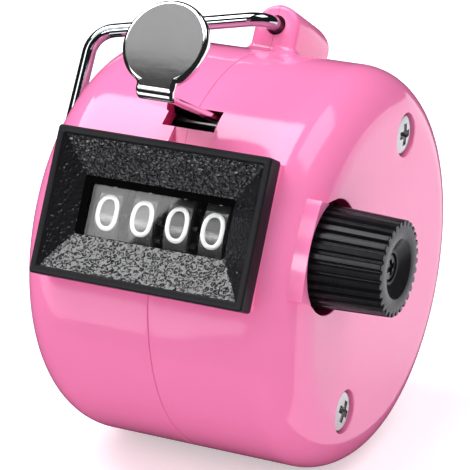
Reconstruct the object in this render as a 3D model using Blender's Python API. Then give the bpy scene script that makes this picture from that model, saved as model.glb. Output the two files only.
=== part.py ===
"""Hand tally counter: a two-piece moulded drum with a bezel window, four number wheels on a reset
shaft, transfer pinions, a sprung thumb lever with its pawl, and a wire finger loop.

Everything is laid out square to the window in the case frame: X runs along the drum from the left
end to the right end, where the reset knob is, the window faces -Y, and the thumb lever is on top.
The case frame is leaned back, as the counter lies when its window looks up at the reader.
The model's origin is the centre of the flat left end face.
"""

import math

import bmesh
import bpy
from mathutils import Matrix, Vector

# Case
DRUM_RADIUS = 0.022
DRUM_HALF_WIDTH = 0.0165
RIM_ROUNDING = 0.0055
CASE_WALL = 0.0016
LEAN_BACK = math.radians(26.8)

# Fits between pieces
SEAT_GAP = 0.0003
RUNNING_GAP = 0.0001
CUT_OVERRUN = 0.002

# Counting train
WHEEL_RADIUS = 0.0069
WHEEL_PITCH = 0.00407
WHEEL_COUNT = 4
WHEEL_BEHIND_FRONT = 0.0009
SHAFT_RADIUS = 0.0015
GEAR_MODULE = 0.000575
WHEEL_TEETH = 20
PINION_TEETH = 8

# Inner frame
PLATE_THICKNESS = 0.0008
PLATE_INNER_FACE = 0.0098
LEVER_PIN_BEHIND_SHAFT = 0.0008
LEVER_PIN_ABOVE_SHAFT = 0.0099
LEVER_PIN_RADIUS = 0.00075
LEVER_THICKNESS = 0.0008
ARM_ABOVE_PIN = 0.0023
PAWL_PIN_BEHIND_SHAFT = 0.0052
PAWL_PIN_BELOW_SHAFT = 0.0056
TOP_SCREW_FORWARD = 0.0008
BOTTOM_SCREW_FORWARD = 0.0023
SCREW_INSET = 0.0068
SCREW_SHANK_RADIUS = 0.00095

# Finger loop
LUG_SET_BACK = math.radians(3.5)
LOOP_WIRE_RADIUS = 0.00078
LOOP_HOLE_HEIGHT = 0.0024

FINE_STEPS = 64
ROUND_STEPS = 32
SMALL_STEPS = 16

SHAFT_Y = -(DRUM_RADIUS - WHEEL_BEHIND_FRONT - WHEEL_RADIUS)
PINION_Y = SHAFT_Y + GEAR_MODULE * (WHEEL_TEETH + PINION_TEETH) / 2
LEVER_PIN_Y = SHAFT_Y + LEVER_PIN_BEHIND_SHAFT
LEVER_PIN_Z = LEVER_PIN_ABOVE_SHAFT
PLATE_OUTER_FACE = PLATE_INNER_FACE + PLATE_THICKNESS
ARM_TOP = LEVER_PIN_Z + ARM_ABOVE_PIN
PAWL_PIN_Y = SHAFT_Y + PAWL_PIN_BEHIND_SHAFT
PAWL_PIN_Z = -PAWL_PIN_BELOW_SHAFT


def clear_scene():
    """Removes whatever the file holds, so that the model starts from nothing."""
    for old in list(bpy.data.objects):
        bpy.data.objects.remove(old, do_unlink=True)


def material(name, color, roughness, metallic=0.0, alpha=1.0):
    """A plain Principled material in a piece's own colour."""
    made = bpy.data.materials.new(name)
    made.use_nodes = True
    shader = made.node_tree.nodes["Principled BSDF"]
    shader.inputs["Base Color"].default_value = (*color, 1.0)
    shader.inputs["Roughness"].default_value = roughness
    shader.inputs["Metallic"].default_value = metallic
    shader.inputs["Alpha"].default_value = alpha
    return made


def frame_at(name, parent, x=0.0, y=0.0, z=0.0, turn=0.0):
    """An empty that carries pieces, turned about X."""
    empty = bpy.data.objects.new(name, None)
    bpy.context.scene.collection.objects.link(empty)
    empty.parent = parent
    empty.location = (x, y, z)
    empty.rotation_euler = (turn, 0.0, 0.0)
    return empty


def piece(name, bm, parent, x=0.0, y=0.0, z=0.0):
    """Turns a bmesh into a named, smooth-shaded object under a parent."""
    bmesh.ops.recalc_face_normals(bm, faces=bm.faces)
    mesh = bpy.data.meshes.new(name)
    bm.to_mesh(mesh)
    bm.free()
    made = bpy.data.objects.new(name, mesh)
    bpy.context.scene.collection.objects.link(made)
    made.parent = parent
    made.location = (x, y, z)
    mesh.shade_smooth()
    mesh.set_sharp_from_angle(angle=math.radians(35))
    return made


def as_cutter(made):
    """Marks a piece as a tool that only shapes other pieces."""
    made.hide_render = True
    made.display_type = "WIRE"
    return made


def combine(target, operand, operation):
    """Adds a Boolean step to a piece. The operand becomes a tool."""
    step = target.modifiers.new(operand.name, "BOOLEAN")
    step.operation = operation
    step.solver = "EXACT"
    step.object = as_cutter(operand)
    return target


def turned(profile, steps):
    """A solid of revolution about X from (x, radius) points, open at the axis or a closed ring."""
    bm = bmesh.new()
    closed = profile[0][1] > 0.0
    flat_start = not closed and profile[0][0] == profile[1][0]
    flat_end = not closed and profile[-1][0] == profile[-2][0]
    points = profile[1 if flat_start else 0 : len(profile) - (1 if flat_end else 0)]
    rings = []
    for x, radius in points:
        if radius == 0.0:
            rings.append([bm.verts.new((x, 0.0, 0.0))])
            continue
        ring = []
        for step in range(steps):
            angle = 2 * math.pi * (step + 0.5) / steps
            ring.append(bm.verts.new((x, radius * math.cos(angle), radius * math.sin(angle))))
        rings.append(ring)
    pairs = list(zip(rings[:-1], rings[1:]))
    if closed:
        pairs.append((rings[-1], rings[0]))
    for first, second in pairs:
        for step in range(steps):
            after = (step + 1) % steps
            corners = []
            for ring, at in ((first, step), (first, after), (second, after), (second, step)):
                corner = ring[at % len(ring)]
                if corner not in corners:
                    corners.append(corner)
            bm.faces.new(corners)
    if flat_start:
        bm.faces.new(rings[0])
    if flat_end:
        bm.faces.new(rings[-1][::-1])
    return bm


def rod(x_from, x_to, radius, steps=SMALL_STEPS):
    """A plain round bar along X."""
    return turned([(x_from, 0.0), (x_from, radius), (x_to, radius), (x_to, 0.0)], steps)


def sleeve(x_from, x_to, outer, bore, steps=SMALL_STEPS):
    """A tube along X."""
    return turned([(x_from, bore), (x_from, outer), (x_to, outer), (x_to, bore)], steps)


def prism(outline, low, high, along="X"):
    """A flat outline of two coordinates pushed along the third."""
    bm = bmesh.new()

    def point(a, b, c):
        if along == "X":
            return (c, a, b)
        if along == "Y":
            return (a, c, b)
        return (a, b, c)

    first = [bm.verts.new(point(a, b, low)) for a, b in outline]
    second = [bm.verts.new(point(a, b, high)) for a, b in outline]
    bm.faces.new(first)
    bm.faces.new(second[::-1])
    for at in range(len(outline)):
        after = (at + 1) % len(outline)
        bm.faces.new((first[at], second[at], second[after], first[after]))
    return bm


def block(low, high):
    """A box between two corners."""
    outline = [(low[1], low[2]), (high[1], low[2]), (high[1], high[2]), (low[1], high[2])]
    return prism(outline, low[0], high[0])


def loft(loops):
    """Closed loops of equal length skinned in order, with flat ends."""
    bm = bmesh.new()
    rings = [[bm.verts.new(point) for point in loop] for loop in loops]
    bm.faces.new(rings[0])
    bm.faces.new(rings[-1][::-1])
    for first, second in zip(rings[:-1], rings[1:]):
        for at in range(len(first)):
            after = (at + 1) % len(first)
            bm.faces.new((first[at], first[after], second[after], second[at]))
    return bm


def arc(centre_a, centre_b, radius, start, end, steps):
    """Points of an arc, with its angles in degrees."""
    points = []
    for step in range(steps + 1):
        angle = math.radians(start + (end - start) * step / steps)
        points.append((centre_a + radius * math.cos(angle), centre_b + radius * math.sin(angle)))
    return points


def bore_radius(clear_radius, steps):
    """Corner radius of a faceted hole whose flats keep the clear radius."""
    return clear_radius / math.cos(math.pi / steps)


def hull_outline(discs, steps=24):
    """The outline of a band stretched round several discs, each (a, b, radius)."""
    points = []
    for a, b, radius in discs:
        points += arc(a, b, radius, 0, 360 - 360 / steps, steps - 1)
    points = sorted(set(points))

    def half(ordered):
        chain = []
        for point in ordered:
            while len(chain) > 1:
                (ax, ay), (bx, by) = chain[-2], chain[-1]
                if (bx - ax) * (point[1] - ay) - (by - ay) * (point[0] - ax) > 0:
                    break
                chain.pop()
            chain.append(point)
        return chain[:-1]

    return half(points) + half(points[::-1])


def rounded_path(corners, roundings, steps, closed):
    """A line of points through sharp corners, each turned by an arc of its own radius."""
    points = []
    count = len(corners)
    for at, (corner, rounding) in enumerate(zip(corners, roundings)):
        here = Vector(corner)
        if rounding == 0.0 or (not closed and at in (0, count - 1)):
            points.append(here)
            continue
        before = (Vector(corners[at - 1]) - here).normalized()
        after = (Vector(corners[(at + 1) % count]) - here).normalized()
        half_angle = before.angle(after) / 2
        reach = rounding / math.tan(half_angle)
        centre = here + (before + after).normalized() * rounding / math.sin(half_angle)
        start = here + before * reach - centre
        end = here + after * reach - centre
        sweep = start.angle(end)
        for step in range(steps + 1):
            share = step / steps
            first = math.sin((1 - share) * sweep) / math.sin(sweep)
            second = math.sin(share * sweep) / math.sin(sweep)
            points.append(centre + start * first + end * second)
    return points


def wire(name, points, radius, parent, sides_level, closed, x=0.0, y=0.0, z=0.0):
    """A round wire along a line of points, as a bevelled curve."""
    curve = bpy.data.curves.new(name, "CURVE")
    curve.dimensions = "3D"
    curve.bevel_depth = radius
    curve.bevel_resolution = sides_level
    curve.use_fill_caps = not closed
    spline = curve.splines.new("POLY")
    spline.points.add(len(points) - 1)
    for spot, point in zip(spline.points, points):
        spot.co = (*point, 1.0)
    spline.use_cyclic_u = closed
    made = bpy.data.objects.new(name, curve)
    bpy.context.scene.collection.objects.link(made)
    made.parent = parent
    made.location = (x, y, z)
    return made


def gear_outline(teeth, module, kept=None, turn=0.0, slim=1.0):
    """Trapezoid teeth round a root circle. Kept lists the teeth that are there, or None for all."""
    pitch_radius = module * teeth / 2
    tip = pitch_radius + module * TOOTH_RISE_SHARE
    root = pitch_radius - module * TOOTH_DROP_SHARE
    pitch = 2 * math.pi / teeth
    outline = []
    for tooth in range(teeth):
        middle = tooth * pitch + turn
        if kept is None or tooth in kept:
            shape = (
                (-TOOTH_ROOT_SHARE * slim, root),
                (-TOOTH_TIP_SHARE * slim, tip),
                (TOOTH_TIP_SHARE * slim, tip),
                (TOOTH_ROOT_SHARE * slim, root),
            )
        else:
            shape = ((-TOOTH_ROOT_SHARE, root), (TOOTH_ROOT_SHARE, root))
        for share, radius in shape:
            angle = middle + share * pitch
            outline.append((radius * math.cos(angle), radius * math.sin(angle)))
    return outline


TOOTH_RISE_SHARE = 0.85
TOOTH_DROP_SHARE = 1.25
TOOTH_TIP_SHARE = 0.09
TOOTH_ROOT_SHARE = 0.22
CARRY_SLIMMING = 0.68

# Drum shells: two deep moulded cups that meet on the middle plane
SCREW_HEAD_SEAT_DEPTH = 0.0014
SCREW_HEAD_SEAT_RADIUS = 0.00215
BOSS_RADIUS = 0.0026
KNOB_HOLE_RADIUS = 0.00615
SLOT_HALF_WIDTH = 0.003
SLOT_ABOVE_ARM = 0.00035
SLOT_STROKE_ROOM = 0.00125
SLOT_LAND_DEPTH = 0.00125
SLOT_LAND_BOTTOM = 0.0077
SLOT_LAND_LEFT = 0.0015
SLOT_LAND_RIGHT = 0.0034
SLOT_LAND_RISE = 0.0002
KNOB_PAD_MARGIN = 0.00015
KNOB_PAD_HEIGHT_SHARE = 0.83
KNOB_PAD_REAR_SHARE = 0.5
KNOB_PAD_DEPTH = 0.0037
OPENING_HALF_WIDTH = 0.0100
OPENING_HALF_HEIGHT = 0.0052
LUG_HALF_WIDTH = 0.00265
LUG_FRONT = -0.0049
LUG_BACK = 0.0052
LUG_RISE = 0.0048
LUG_BACK_ROUNDING = 0.0025
LUG_FRONT_ROUNDING = 0.0006
LUG_HOLE_RADIUS = 0.00112
RIM_STEPS = 6
LIP_REACH = 0.0015
LIP_THICKNESS = 0.0006


def shell_profile(side):
    """Half of the drum's section, from the outer end face round the rim to the inner end face.

    The left cup's mouth carries a thin lip that laps behind the right cup.
    """
    inner_radius = DRUM_RADIUS - CASE_WALL
    flat_end = DRUM_HALF_WIDTH - RIM_ROUNDING
    rim_height = DRUM_RADIUS - RIM_ROUNDING
    inner_rounding = RIM_ROUNDING - CASE_WALL
    outer = arc(flat_end, rim_height, RIM_ROUNDING, 0, 90, RIM_STEPS)
    inner = arc(flat_end, rim_height, inner_rounding, 90, 0, RIM_STEPS)
    mouth = SEAT_GAP / 2
    lip_outer = inner_radius - SEAT_GAP
    lip_inner = lip_outer - LIP_THICKNESS
    lip = [(mouth, lip_outer), (-LIP_REACH, lip_outer), (-LIP_REACH, lip_inner)]
    lip += [(LIP_REACH, lip_inner), (LIP_REACH, inner_radius)]
    edge = [(mouth, inner_radius)] if side > 0 else lip
    points = [(DRUM_HALF_WIDTH, 0.0), *outer, (mouth, DRUM_RADIUS), *edge]
    points += [*inner, (DRUM_HALF_WIDTH - CASE_WALL, 0.0)]
    return [(side * x, radius) for x, radius in points]


def half_lug(lug_frame, name, side):
    """One half of the arched lug that the finger loop hangs in, with its rounded back corner."""
    ridge = DRUM_RADIUS + LUG_RISE
    arch_middle = ridge - LUG_HALF_WIDTH
    foot = DRUM_RADIUS - CASE_WALL / 2
    arch = arc(0.0, arch_middle, LUG_HALF_WIDTH, 0, 180, RIM_STEPS * 2)
    outline = [(-LUG_HALF_WIDTH, foot), (LUG_HALF_WIDTH, foot), *arch]
    longer = LUG_BACK + CUT_OVERRUN
    arched = piece(name, prism(outline, -longer, longer, "Y"), lug_frame)
    deep = foot - CUT_OVERRUN
    back = arc(LUG_BACK - LUG_BACK_ROUNDING, ridge - LUG_BACK_ROUNDING, LUG_BACK_ROUNDING, 0, 90, RIM_STEPS)
    front = arc(LUG_FRONT + LUG_FRONT_ROUNDING, ridge - LUG_FRONT_ROUNDING, LUG_FRONT_ROUNDING, 90, 180, 3)
    side_view = [(LUG_FRONT, deep), (LUG_BACK, deep), *back, *front]
    mouth = side * SEAT_GAP / 2
    wide = side * (LUG_HALF_WIDTH + CUT_OVERRUN)
    trim = piece(name + "_trim", prism(side_view, min(mouth, wide), max(mouth, wide)), lug_frame)
    return combine(arched, trim, "INTERSECT")


def knob_pad():
    """The flat pad that carries the end face out over the rounded rim, round the knob's hole."""
    front = SHAFT_Y - KNOB_HOLE_RADIUS - KNOB_PAD_MARGIN
    rear = SHAFT_Y - KNOB_HOLE_RADIUS * KNOB_PAD_REAR_SHARE
    half = KNOB_HOLE_RADIUS * KNOB_PAD_HEIGHT_SHARE
    return block((DRUM_HALF_WIDTH - KNOB_PAD_DEPTH, front, -half), (DRUM_HALF_WIDTH, rear, half))


def screw_places():
    """The two case screws, on the middle plane above and below the drum's axis."""
    height = DRUM_RADIUS - SCREW_INSET
    return ((-TOP_SCREW_FORWARD, height), (-BOTTOM_SCREW_FORWARD, -height))


def shell(name, side, case, lug_frame, plastic):
    """One moulded cup with its screw bosses, its half of the lug and its share of the openings."""
    made = piece(name, turned(shell_profile(side), FINE_STEPS), case)
    boss_start = side * (PLATE_OUTER_FACE + SEAT_GAP)
    boss_end = side * (DRUM_HALF_WIDTH - CASE_WALL / 2)
    for place, (y, z) in enumerate(screw_places()):
        tool = f"{name}_boss_{place}"
        combine(made, piece(tool, rod(boss_start, boss_end, BOSS_RADIUS), case, 0, y, z), "UNION")
    combine(made, half_lug(lug_frame, name + "_lug", side), "UNION")
    if side > 0:
        combine(made, piece(name + "_knob_pad", knob_pad(), case), "UNION")

    hole = bore_radius(SCREW_SHANK_RADIUS + RUNNING_GAP, SMALL_STEPS)
    blind_end = side * (DRUM_HALF_WIDTH - CASE_WALL - SEAT_GAP)
    open_end = side * (DRUM_HALF_WIDTH + CUT_OVERRUN)
    seat = side * (DRUM_HALF_WIDTH - SCREW_HEAD_SEAT_DEPTH)
    for place, (y, z) in enumerate(screw_places()):
        far = open_end if side > 0 else blind_end
        pilot = rod(boss_start - side * CUT_OVERRUN, far, hole)
        combine(made, piece(f"{name}_pilot_{place}", pilot, case, 0, y, z), "DIFFERENCE")
        if side > 0:
            pocket = rod(seat, open_end, SCREW_HEAD_SEAT_RADIUS, ROUND_STEPS)
            combine(made, piece(f"{name}_seat_{place}", pocket, case, 0, y, z), "DIFFERENCE")

    in_front = -(DRUM_RADIUS + CUT_OVERRUN)
    window = block(
        (-OPENING_HALF_WIDTH, in_front, -OPENING_HALF_HEIGHT),
        (OPENING_HALF_WIDTH, SHAFT_Y, OPENING_HALF_HEIGHT),
    )
    combine(made, piece(name + "_window", window, case), "DIFFERENCE")
    slot_top = ARM_TOP + SLOT_ABOVE_ARM
    slot_bottom = ARM_TOP - LEVER_THICKNESS - SLOT_STROKE_ROOM
    land_face = -math.sqrt(DRUM_RADIUS**2 - SLOT_LAND_BOTTOM**2) + SLOT_LAND_DEPTH
    slot = block((-SLOT_HALF_WIDTH, in_front, slot_bottom), (SLOT_HALF_WIDTH, LEVER_PIN_Y, slot_top))
    combine(made, piece(name + "_slot", slot, case), "DIFFERENCE")
    land = block(
        (-SLOT_LAND_LEFT, in_front, SLOT_LAND_BOTTOM),
        (SLOT_LAND_RIGHT, land_face, slot_bottom + SLOT_LAND_RISE),
    )
    combine(made, piece(name + "_land", land, case), "DIFFERENCE")
    loop_hole = prism(arc(0, 0, LUG_HOLE_RADIUS, 0, 337.5, 15), LUG_FRONT - CUT_OVERRUN, LUG_BACK + CUT_OVERRUN, "Y")
    hole_height = DRUM_RADIUS + LOOP_HOLE_HEIGHT
    combine(made, piece(name + "_loop_hole", loop_hole, lug_frame, 0, 0, hole_height), "DIFFERENCE")
    if side > 0:
        knob_hole = rod(DRUM_HALF_WIDTH - RIM_ROUNDING, open_end, KNOB_HOLE_RADIUS, ROUND_STEPS)
        combine(made, piece(name + "_knob_hole", knob_hole, case, 0, SHAFT_Y, 0), "DIFFERENCE")
    made.data.materials.append(plastic)
    return made


# Bezel: a dished frame with a collar that plugs into the drum's opening
BEZEL_STAND = 0.0023
BEZEL_HALF_WIDTH = 0.01225
BEZEL_BOTTOM = -0.0076
BEZEL_TOP = 0.00806
BEZEL_EDGE = 0.0004
BEZEL_SKIRT = 0.0032
BEZEL_LIP = 0.0007
BEZEL_LIP_STEP = 0.0003
WINDOW_HALF_WIDTH = 0.00828
WINDOW_HALF_HEIGHT = 0.0027
WINDOW_DEPTH = 0.0015
LENS_THICKNESS = 0.0006
LENS_BEHIND_FRONT = BEZEL_STAND
COLLAR_DEPTH = 0.0020
COLLAR_WALL = 0.0008


def frame_loop(half_width, bottom, top, rounding, y, steps=3):
    """A rectangle with rounded corners in a plane square to Y."""
    points = []
    corners = (
        (half_width, top, 0),
        (-half_width, top, 90),
        (-half_width, bottom, 180),
        (half_width, bottom, 270),
    )
    for x, z, start in corners:
        centre_x = x - math.copysign(rounding, x)
        centre_z = z - rounding if z == top else z + rounding
        points += arc(centre_x, centre_z, rounding, start, start + 90, steps)
    return [(a, y, b) for a, b in points]


def make_bezel(case, plastic):
    """The frame in front of the drum, its sloping sides, window and collar."""
    front = -(DRUM_RADIUS + BEZEL_STAND)
    buried = -(DRUM_RADIUS - BEZEL_SKIRT)
    lens_front = front + LENS_BEHIND_FRONT
    lip = BEZEL_LIP + BEZEL_EDGE
    high, low = WINDOW_HALF_HEIGHT, -WINDOW_HALF_HEIGHT

    def inset(by, y, rounding):
        return frame_loop(BEZEL_HALF_WIDTH - by, BEZEL_BOTTOM + by, BEZEL_TOP - by, rounding, y)

    sections = [
        inset(0.0, buried, BEZEL_EDGE * 2),
        inset(0.0, front + BEZEL_EDGE, BEZEL_EDGE * 2),
        inset(BEZEL_EDGE, front, BEZEL_EDGE),
        inset(lip, front, BEZEL_EDGE),
        inset(lip + BEZEL_LIP_STEP / 2, front + BEZEL_LIP_STEP, BEZEL_EDGE),
        frame_loop(WINDOW_HALF_WIDTH, low, high, BEZEL_EDGE, front + WINDOW_DEPTH),
    ]
    made = piece("bezel", loft(sections), case)
    inner_drum = piece("bezel_drum", turned(drum_clearance_profile(), FINE_STEPS), case)
    combine(made, inner_drum, "DIFFERENCE")

    outer_x = OPENING_HALF_WIDTH - SEAT_GAP
    outer_z = OPENING_HALF_HEIGHT - SEAT_GAP
    inner_x = outer_x - COLLAR_WALL
    inner_z = outer_z - COLLAR_WALL
    bite = lens_front - CASE_WALL / 2
    collar = block((-outer_x, bite, -outer_z), (outer_x, lens_front + COLLAR_DEPTH, outer_z))
    combine(made, piece("bezel_collar", collar, case), "UNION")
    pocket = block((-inner_x, lens_front - SEAT_GAP, -inner_z), (inner_x, 0.0, inner_z))
    combine(made, piece("bezel_pocket", pocket, case), "DIFFERENCE")
    through = front + WINDOW_DEPTH - BEZEL_EDGE / 8
    clear_way = loft([frame_loop(WINDOW_HALF_WIDTH, low, high, BEZEL_EDGE, y) for y in (through, 0.0)])
    combine(made, piece("bezel_clear_way", clear_way, case), "DIFFERENCE")
    made.data.materials.append(plastic)
    return made


def drum_clearance_profile():
    """The drum's outer surface, grown by the seat gap."""
    flat_end = DRUM_HALF_WIDTH - RIM_ROUNDING
    rim_height = DRUM_RADIUS - RIM_ROUNDING
    grown = RIM_ROUNDING + SEAT_GAP
    right = arc(flat_end, rim_height, grown, 90, 0, RIM_STEPS)
    left = arc(-flat_end, rim_height, grown, 180, 90, RIM_STEPS)
    end = DRUM_HALF_WIDTH + SEAT_GAP
    return [(-end, 0.0), *left, *right, (end, 0.0)]


def make_lens(case, clear):
    """The clear plate behind the window, seated in the bezel's pocket."""
    outer_x = OPENING_HALF_WIDTH - COLLAR_WALL - SEAT_GAP * 2
    outer_z = OPENING_HALF_HEIGHT - COLLAR_WALL - SEAT_GAP * 2
    front = -(DRUM_RADIUS + BEZEL_STAND - LENS_BEHIND_FRONT)
    made = piece("lens", block((-outer_x, front, -outer_z), (outer_x, front + LENS_THICKNESS, outer_z)), case)
    made.data.materials.append(clear)
    return made


# Inner frame: two pressed side plates held apart by spacers on the case screws
PLATE_MARGIN = 0.003
SPACER_RADIUS = 0.0020
SPRING_POST_BEHIND_PIN = 0.0050
SPRING_POST_BELOW_PIN = 0.0009
SPRING_POST_RADIUS = 0.0010
PINION_SHAFT_RADIUS = 0.0007
PIN_OVERHANG = 0.0004


def make_frame(case, steel):
    """Side plates, spacers, the spring post and the lever's pin."""
    top_screw, bottom_screw = screw_places()
    hole_set = (
        (SHAFT_Y, 0.0, SHAFT_RADIUS),
        (PINION_Y, 0.0, PINION_SHAFT_RADIUS),
        (LEVER_PIN_Y, LEVER_PIN_Z, LEVER_PIN_RADIUS),
        (*top_screw, SCREW_SHANK_RADIUS),
        (*bottom_screw, SCREW_SHANK_RADIUS),
    )
    outline = hull_outline(
        [
            (SHAFT_Y, 0.0, PLATE_MARGIN),
            (LEVER_PIN_Y, LEVER_PIN_Z, LEVER_PIN_RADIUS * 2),
            (*top_screw, BOSS_RADIUS),
            (*bottom_screw, BOSS_RADIUS),
        ]
    )
    for name, low, high in (
        ("left_frame_plate", -PLATE_OUTER_FACE, -PLATE_INNER_FACE),
        ("right_frame_plate", PLATE_INNER_FACE, PLATE_OUTER_FACE),
    ):
        plate = piece(name, prism(outline, low, high), case)
        for number, (y, z, radius) in enumerate(hole_set):
            clear = bore_radius(radius + RUNNING_GAP, SMALL_STEPS)
            drill = rod(low - CUT_OVERRUN, high + CUT_OVERRUN, clear)
            combine(plate, piece(f"{name}_hole_{number}", drill, case, 0, y, z), "DIFFERENCE")
        plate.data.materials.append(steel)

    end = PLATE_INNER_FACE - SEAT_GAP
    bore = bore_radius(SCREW_SHANK_RADIUS + RUNNING_GAP, SMALL_STEPS)
    for name, (y, z) in (("top_spacer", top_screw), ("bottom_spacer", bottom_screw)):
        spacer = piece(name, sleeve(-end, end, SPACER_RADIUS, bore), case, 0, y, z)
        spacer.data.materials.append(steel)
    post_y = LEVER_PIN_Y + SPRING_POST_BEHIND_PIN
    post_z = LEVER_PIN_Z - SPRING_POST_BELOW_PIN
    post = piece("spring_post", rod(-end, end, SPRING_POST_RADIUS), case, 0, post_y, post_z)
    post.data.materials.append(steel)
    pin_end = PLATE_OUTER_FACE + PIN_OVERHANG
    pin = piece("lever_pin", rod(-pin_end, pin_end, LEVER_PIN_RADIUS), case, 0, LEVER_PIN_Y, LEVER_PIN_Z)
    pin.data.materials.append(steel)


# Case screws: long pan-head screws with a cross recess
SCREW_HEAD_RADIUS = 0.0019
SCREW_HEAD_HEIGHT = 0.0011
SCREW_TIP_CLEARANCE = 0.0016
CROSS_HALF_LENGTH = 0.0011
CROSS_HALF_WIDTH = 0.00028
CROSS_DEPTH = 0.0006


def head_profile(base, height, radius, shank_radius, tip):
    """A pan head on a shank along X, tip to crown."""
    crown = base + height
    return [
        (tip, 0.0),
        (tip + shank_radius, shank_radius),
        (base, shank_radius),
        (base, radius),
        (base + height * 0.45, radius),
        (base + height * 0.8, radius * 0.82),
        (crown, radius * 0.5),
        (crown, 0.0),
    ]


def cross_recess(name, target, parent, crown, half_length, half_width, depth):
    """Cuts the two crossed slots of a screw head."""
    top = crown + CUT_OVERRUN
    floor = crown - depth
    sizes = ((half_length, half_width), (half_width, half_length))
    for number, (half_y, half_z) in enumerate(sizes):
        low = (floor, -half_y, -half_z)
        high = (top, half_y, half_z)
        combine(target, piece(f"{name}_slot_{number}", block(low, high), parent), "DIFFERENCE")


def make_case_screws(case, zinc):
    """The two long screws that pull the shells together through the spacers."""
    base = DRUM_HALF_WIDTH - SCREW_HEAD_SEAT_DEPTH + SEAT_GAP / 2
    tip = -(DRUM_HALF_WIDTH - CASE_WALL - SCREW_TIP_CLEARANCE)
    crown = base + SCREW_HEAD_HEIGHT
    for name, (y, z) in zip(("top_case_screw", "bottom_case_screw"), screw_places()):
        place = frame_at(name + "_place", case, 0.0, y, z)
        profile = head_profile(base, SCREW_HEAD_HEIGHT, SCREW_HEAD_RADIUS, SCREW_SHANK_RADIUS, tip)
        made = piece(name, turned(profile, SMALL_STEPS), place)
        cross_recess(name, made, place, crown, CROSS_HALF_LENGTH, CROSS_HALF_WIDTH, CROSS_DEPTH)
        made.data.materials.append(zinc)


# Number wheels: a digit rim, a driven gear on the right and a two-tooth carry gear on the left
RIM_HALF_WIDTH = 0.0013
DRIVEN_GEAR_WIDTH = 0.0006
CARRY_GEAR_WIDTH = 0.0005
CARRY_TEETH = (2, 3)
RATCHET_TEETH = 10
RATCHET_TIP_RADIUS = 0.0050
RATCHET_ROOT_RADIUS = 0.0040
RATCHET_WIDTH = 0.0006
RATCHET_HUB_RADIUS = 0.0026


def wheel_centre(place):
    """Where a wheel sits along the shaft, counted from the thousands at the left."""
    return (place - (WHEEL_COUNT - 1) / 2) * WHEEL_PITCH


def make_wheels(case, dark):
    """The four number wheels, turning on the reset shaft."""
    names = ("thousands_wheel", "hundreds_wheel", "tens_wheel", "units_wheel")
    bite = RIM_HALF_WIDTH / 4
    bore = bore_radius(SHAFT_RADIUS + RUNNING_GAP, SMALL_STEPS)
    for place, name in enumerate(names):
        axis = frame_at(name + "_axis", case, wheel_centre(place), SHAFT_Y)
        wheel = piece(name, rod(-RIM_HALF_WIDTH, RIM_HALF_WIDTH, WHEEL_RADIUS, ROUND_STEPS + SMALL_STEPS), axis)
        if place < WHEEL_COUNT - 1:
            teeth = gear_outline(WHEEL_TEETH, GEAR_MODULE)
            gear = prism(teeth, RIM_HALF_WIDTH - bite, RIM_HALF_WIDTH + DRIVEN_GEAR_WIDTH)
            combine(wheel, piece(name + "_gear", gear, axis), "UNION")
        if place > 0:
            teeth = gear_outline(WHEEL_TEETH, GEAR_MODULE, CARRY_TEETH, 0.0, CARRY_SLIMMING)
            carry = prism(teeth, -RIM_HALF_WIDTH - CARRY_GEAR_WIDTH, -RIM_HALF_WIDTH + bite)
            combine(wheel, piece(name + "_carry", carry, axis), "UNION")
        far = RIM_HALF_WIDTH + DRIVEN_GEAR_WIDTH + CUT_OVERRUN
        combine(wheel, piece(name + "_bore", rod(-far, far, bore), axis), "DIFFERENCE")
        wheel.data.materials.append(dark)


def ratchet_outline():
    """Saw teeth with a straight face that the pawl pulls on and a sloping back."""
    outline = []
    for tooth in range(RATCHET_TEETH):
        face = 2 * math.pi * (tooth / RATCHET_TEETH) - math.pi / 2
        outline.append((RATCHET_ROOT_RADIUS * math.cos(face), RATCHET_ROOT_RADIUS * math.sin(face)))
        outline.append((RATCHET_TIP_RADIUS * math.cos(face), RATCHET_TIP_RADIUS * math.sin(face)))
    return outline


def make_ratchet(case, brass):
    """The ratchet wheel fixed to the units wheel."""
    start = wheel_centre(WHEEL_COUNT - 1) + RIM_HALF_WIDTH + RUNNING_GAP
    axis = frame_at("ratchet_axis", case, 0.0, SHAFT_Y)
    made = piece("ratchet_wheel", prism(ratchet_outline(), start, start + RATCHET_WIDTH), axis)
    bore = bore_radius(SHAFT_RADIUS + RUNNING_GAP, SMALL_STEPS)
    drill = rod(start - CUT_OVERRUN, start + RATCHET_WIDTH + CUT_OVERRUN, bore)
    combine(made, piece("ratchet_bore", drill, axis), "DIFFERENCE")
    made.data.materials.append(brass)


# Transfer pinions, one between each pair of wheels
PINION_SIDE_GAP = 0.0002


def make_pinions(case, brass, steel):
    """Three pinions on their own shaft behind the wheels."""
    bore = bore_radius(PINION_SHAFT_RADIUS + RUNNING_GAP, SMALL_STEPS)
    half_gap = WHEEL_PITCH / 2 - RIM_HALF_WIDTH - PINION_SIDE_GAP
    half_tooth = math.pi / PINION_TEETH
    for name, place in (("thousands_pinion", 0), ("hundreds_pinion", 1), ("tens_pinion", 2)):
        middle = (wheel_centre(place) + wheel_centre(place + 1)) / 2
        axis = frame_at(name + "_axis", case, middle, PINION_Y)
        outline = gear_outline(PINION_TEETH, GEAR_MODULE, None, half_tooth)
        pinion = piece(name, prism(outline, -half_gap, half_gap), axis)
        combine(pinion, piece(name + "_bore", rod(-CUT_OVERRUN, CUT_OVERRUN, bore), axis), "DIFFERENCE")
        pinion.data.materials.append(brass)
    end = PLATE_OUTER_FACE + PIN_OVERHANG
    shaft = piece("pinion_shaft", rod(-end, end, PINION_SHAFT_RADIUS), case, 0, PINION_Y, 0)
    shaft.data.materials.append(steel)


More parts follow.
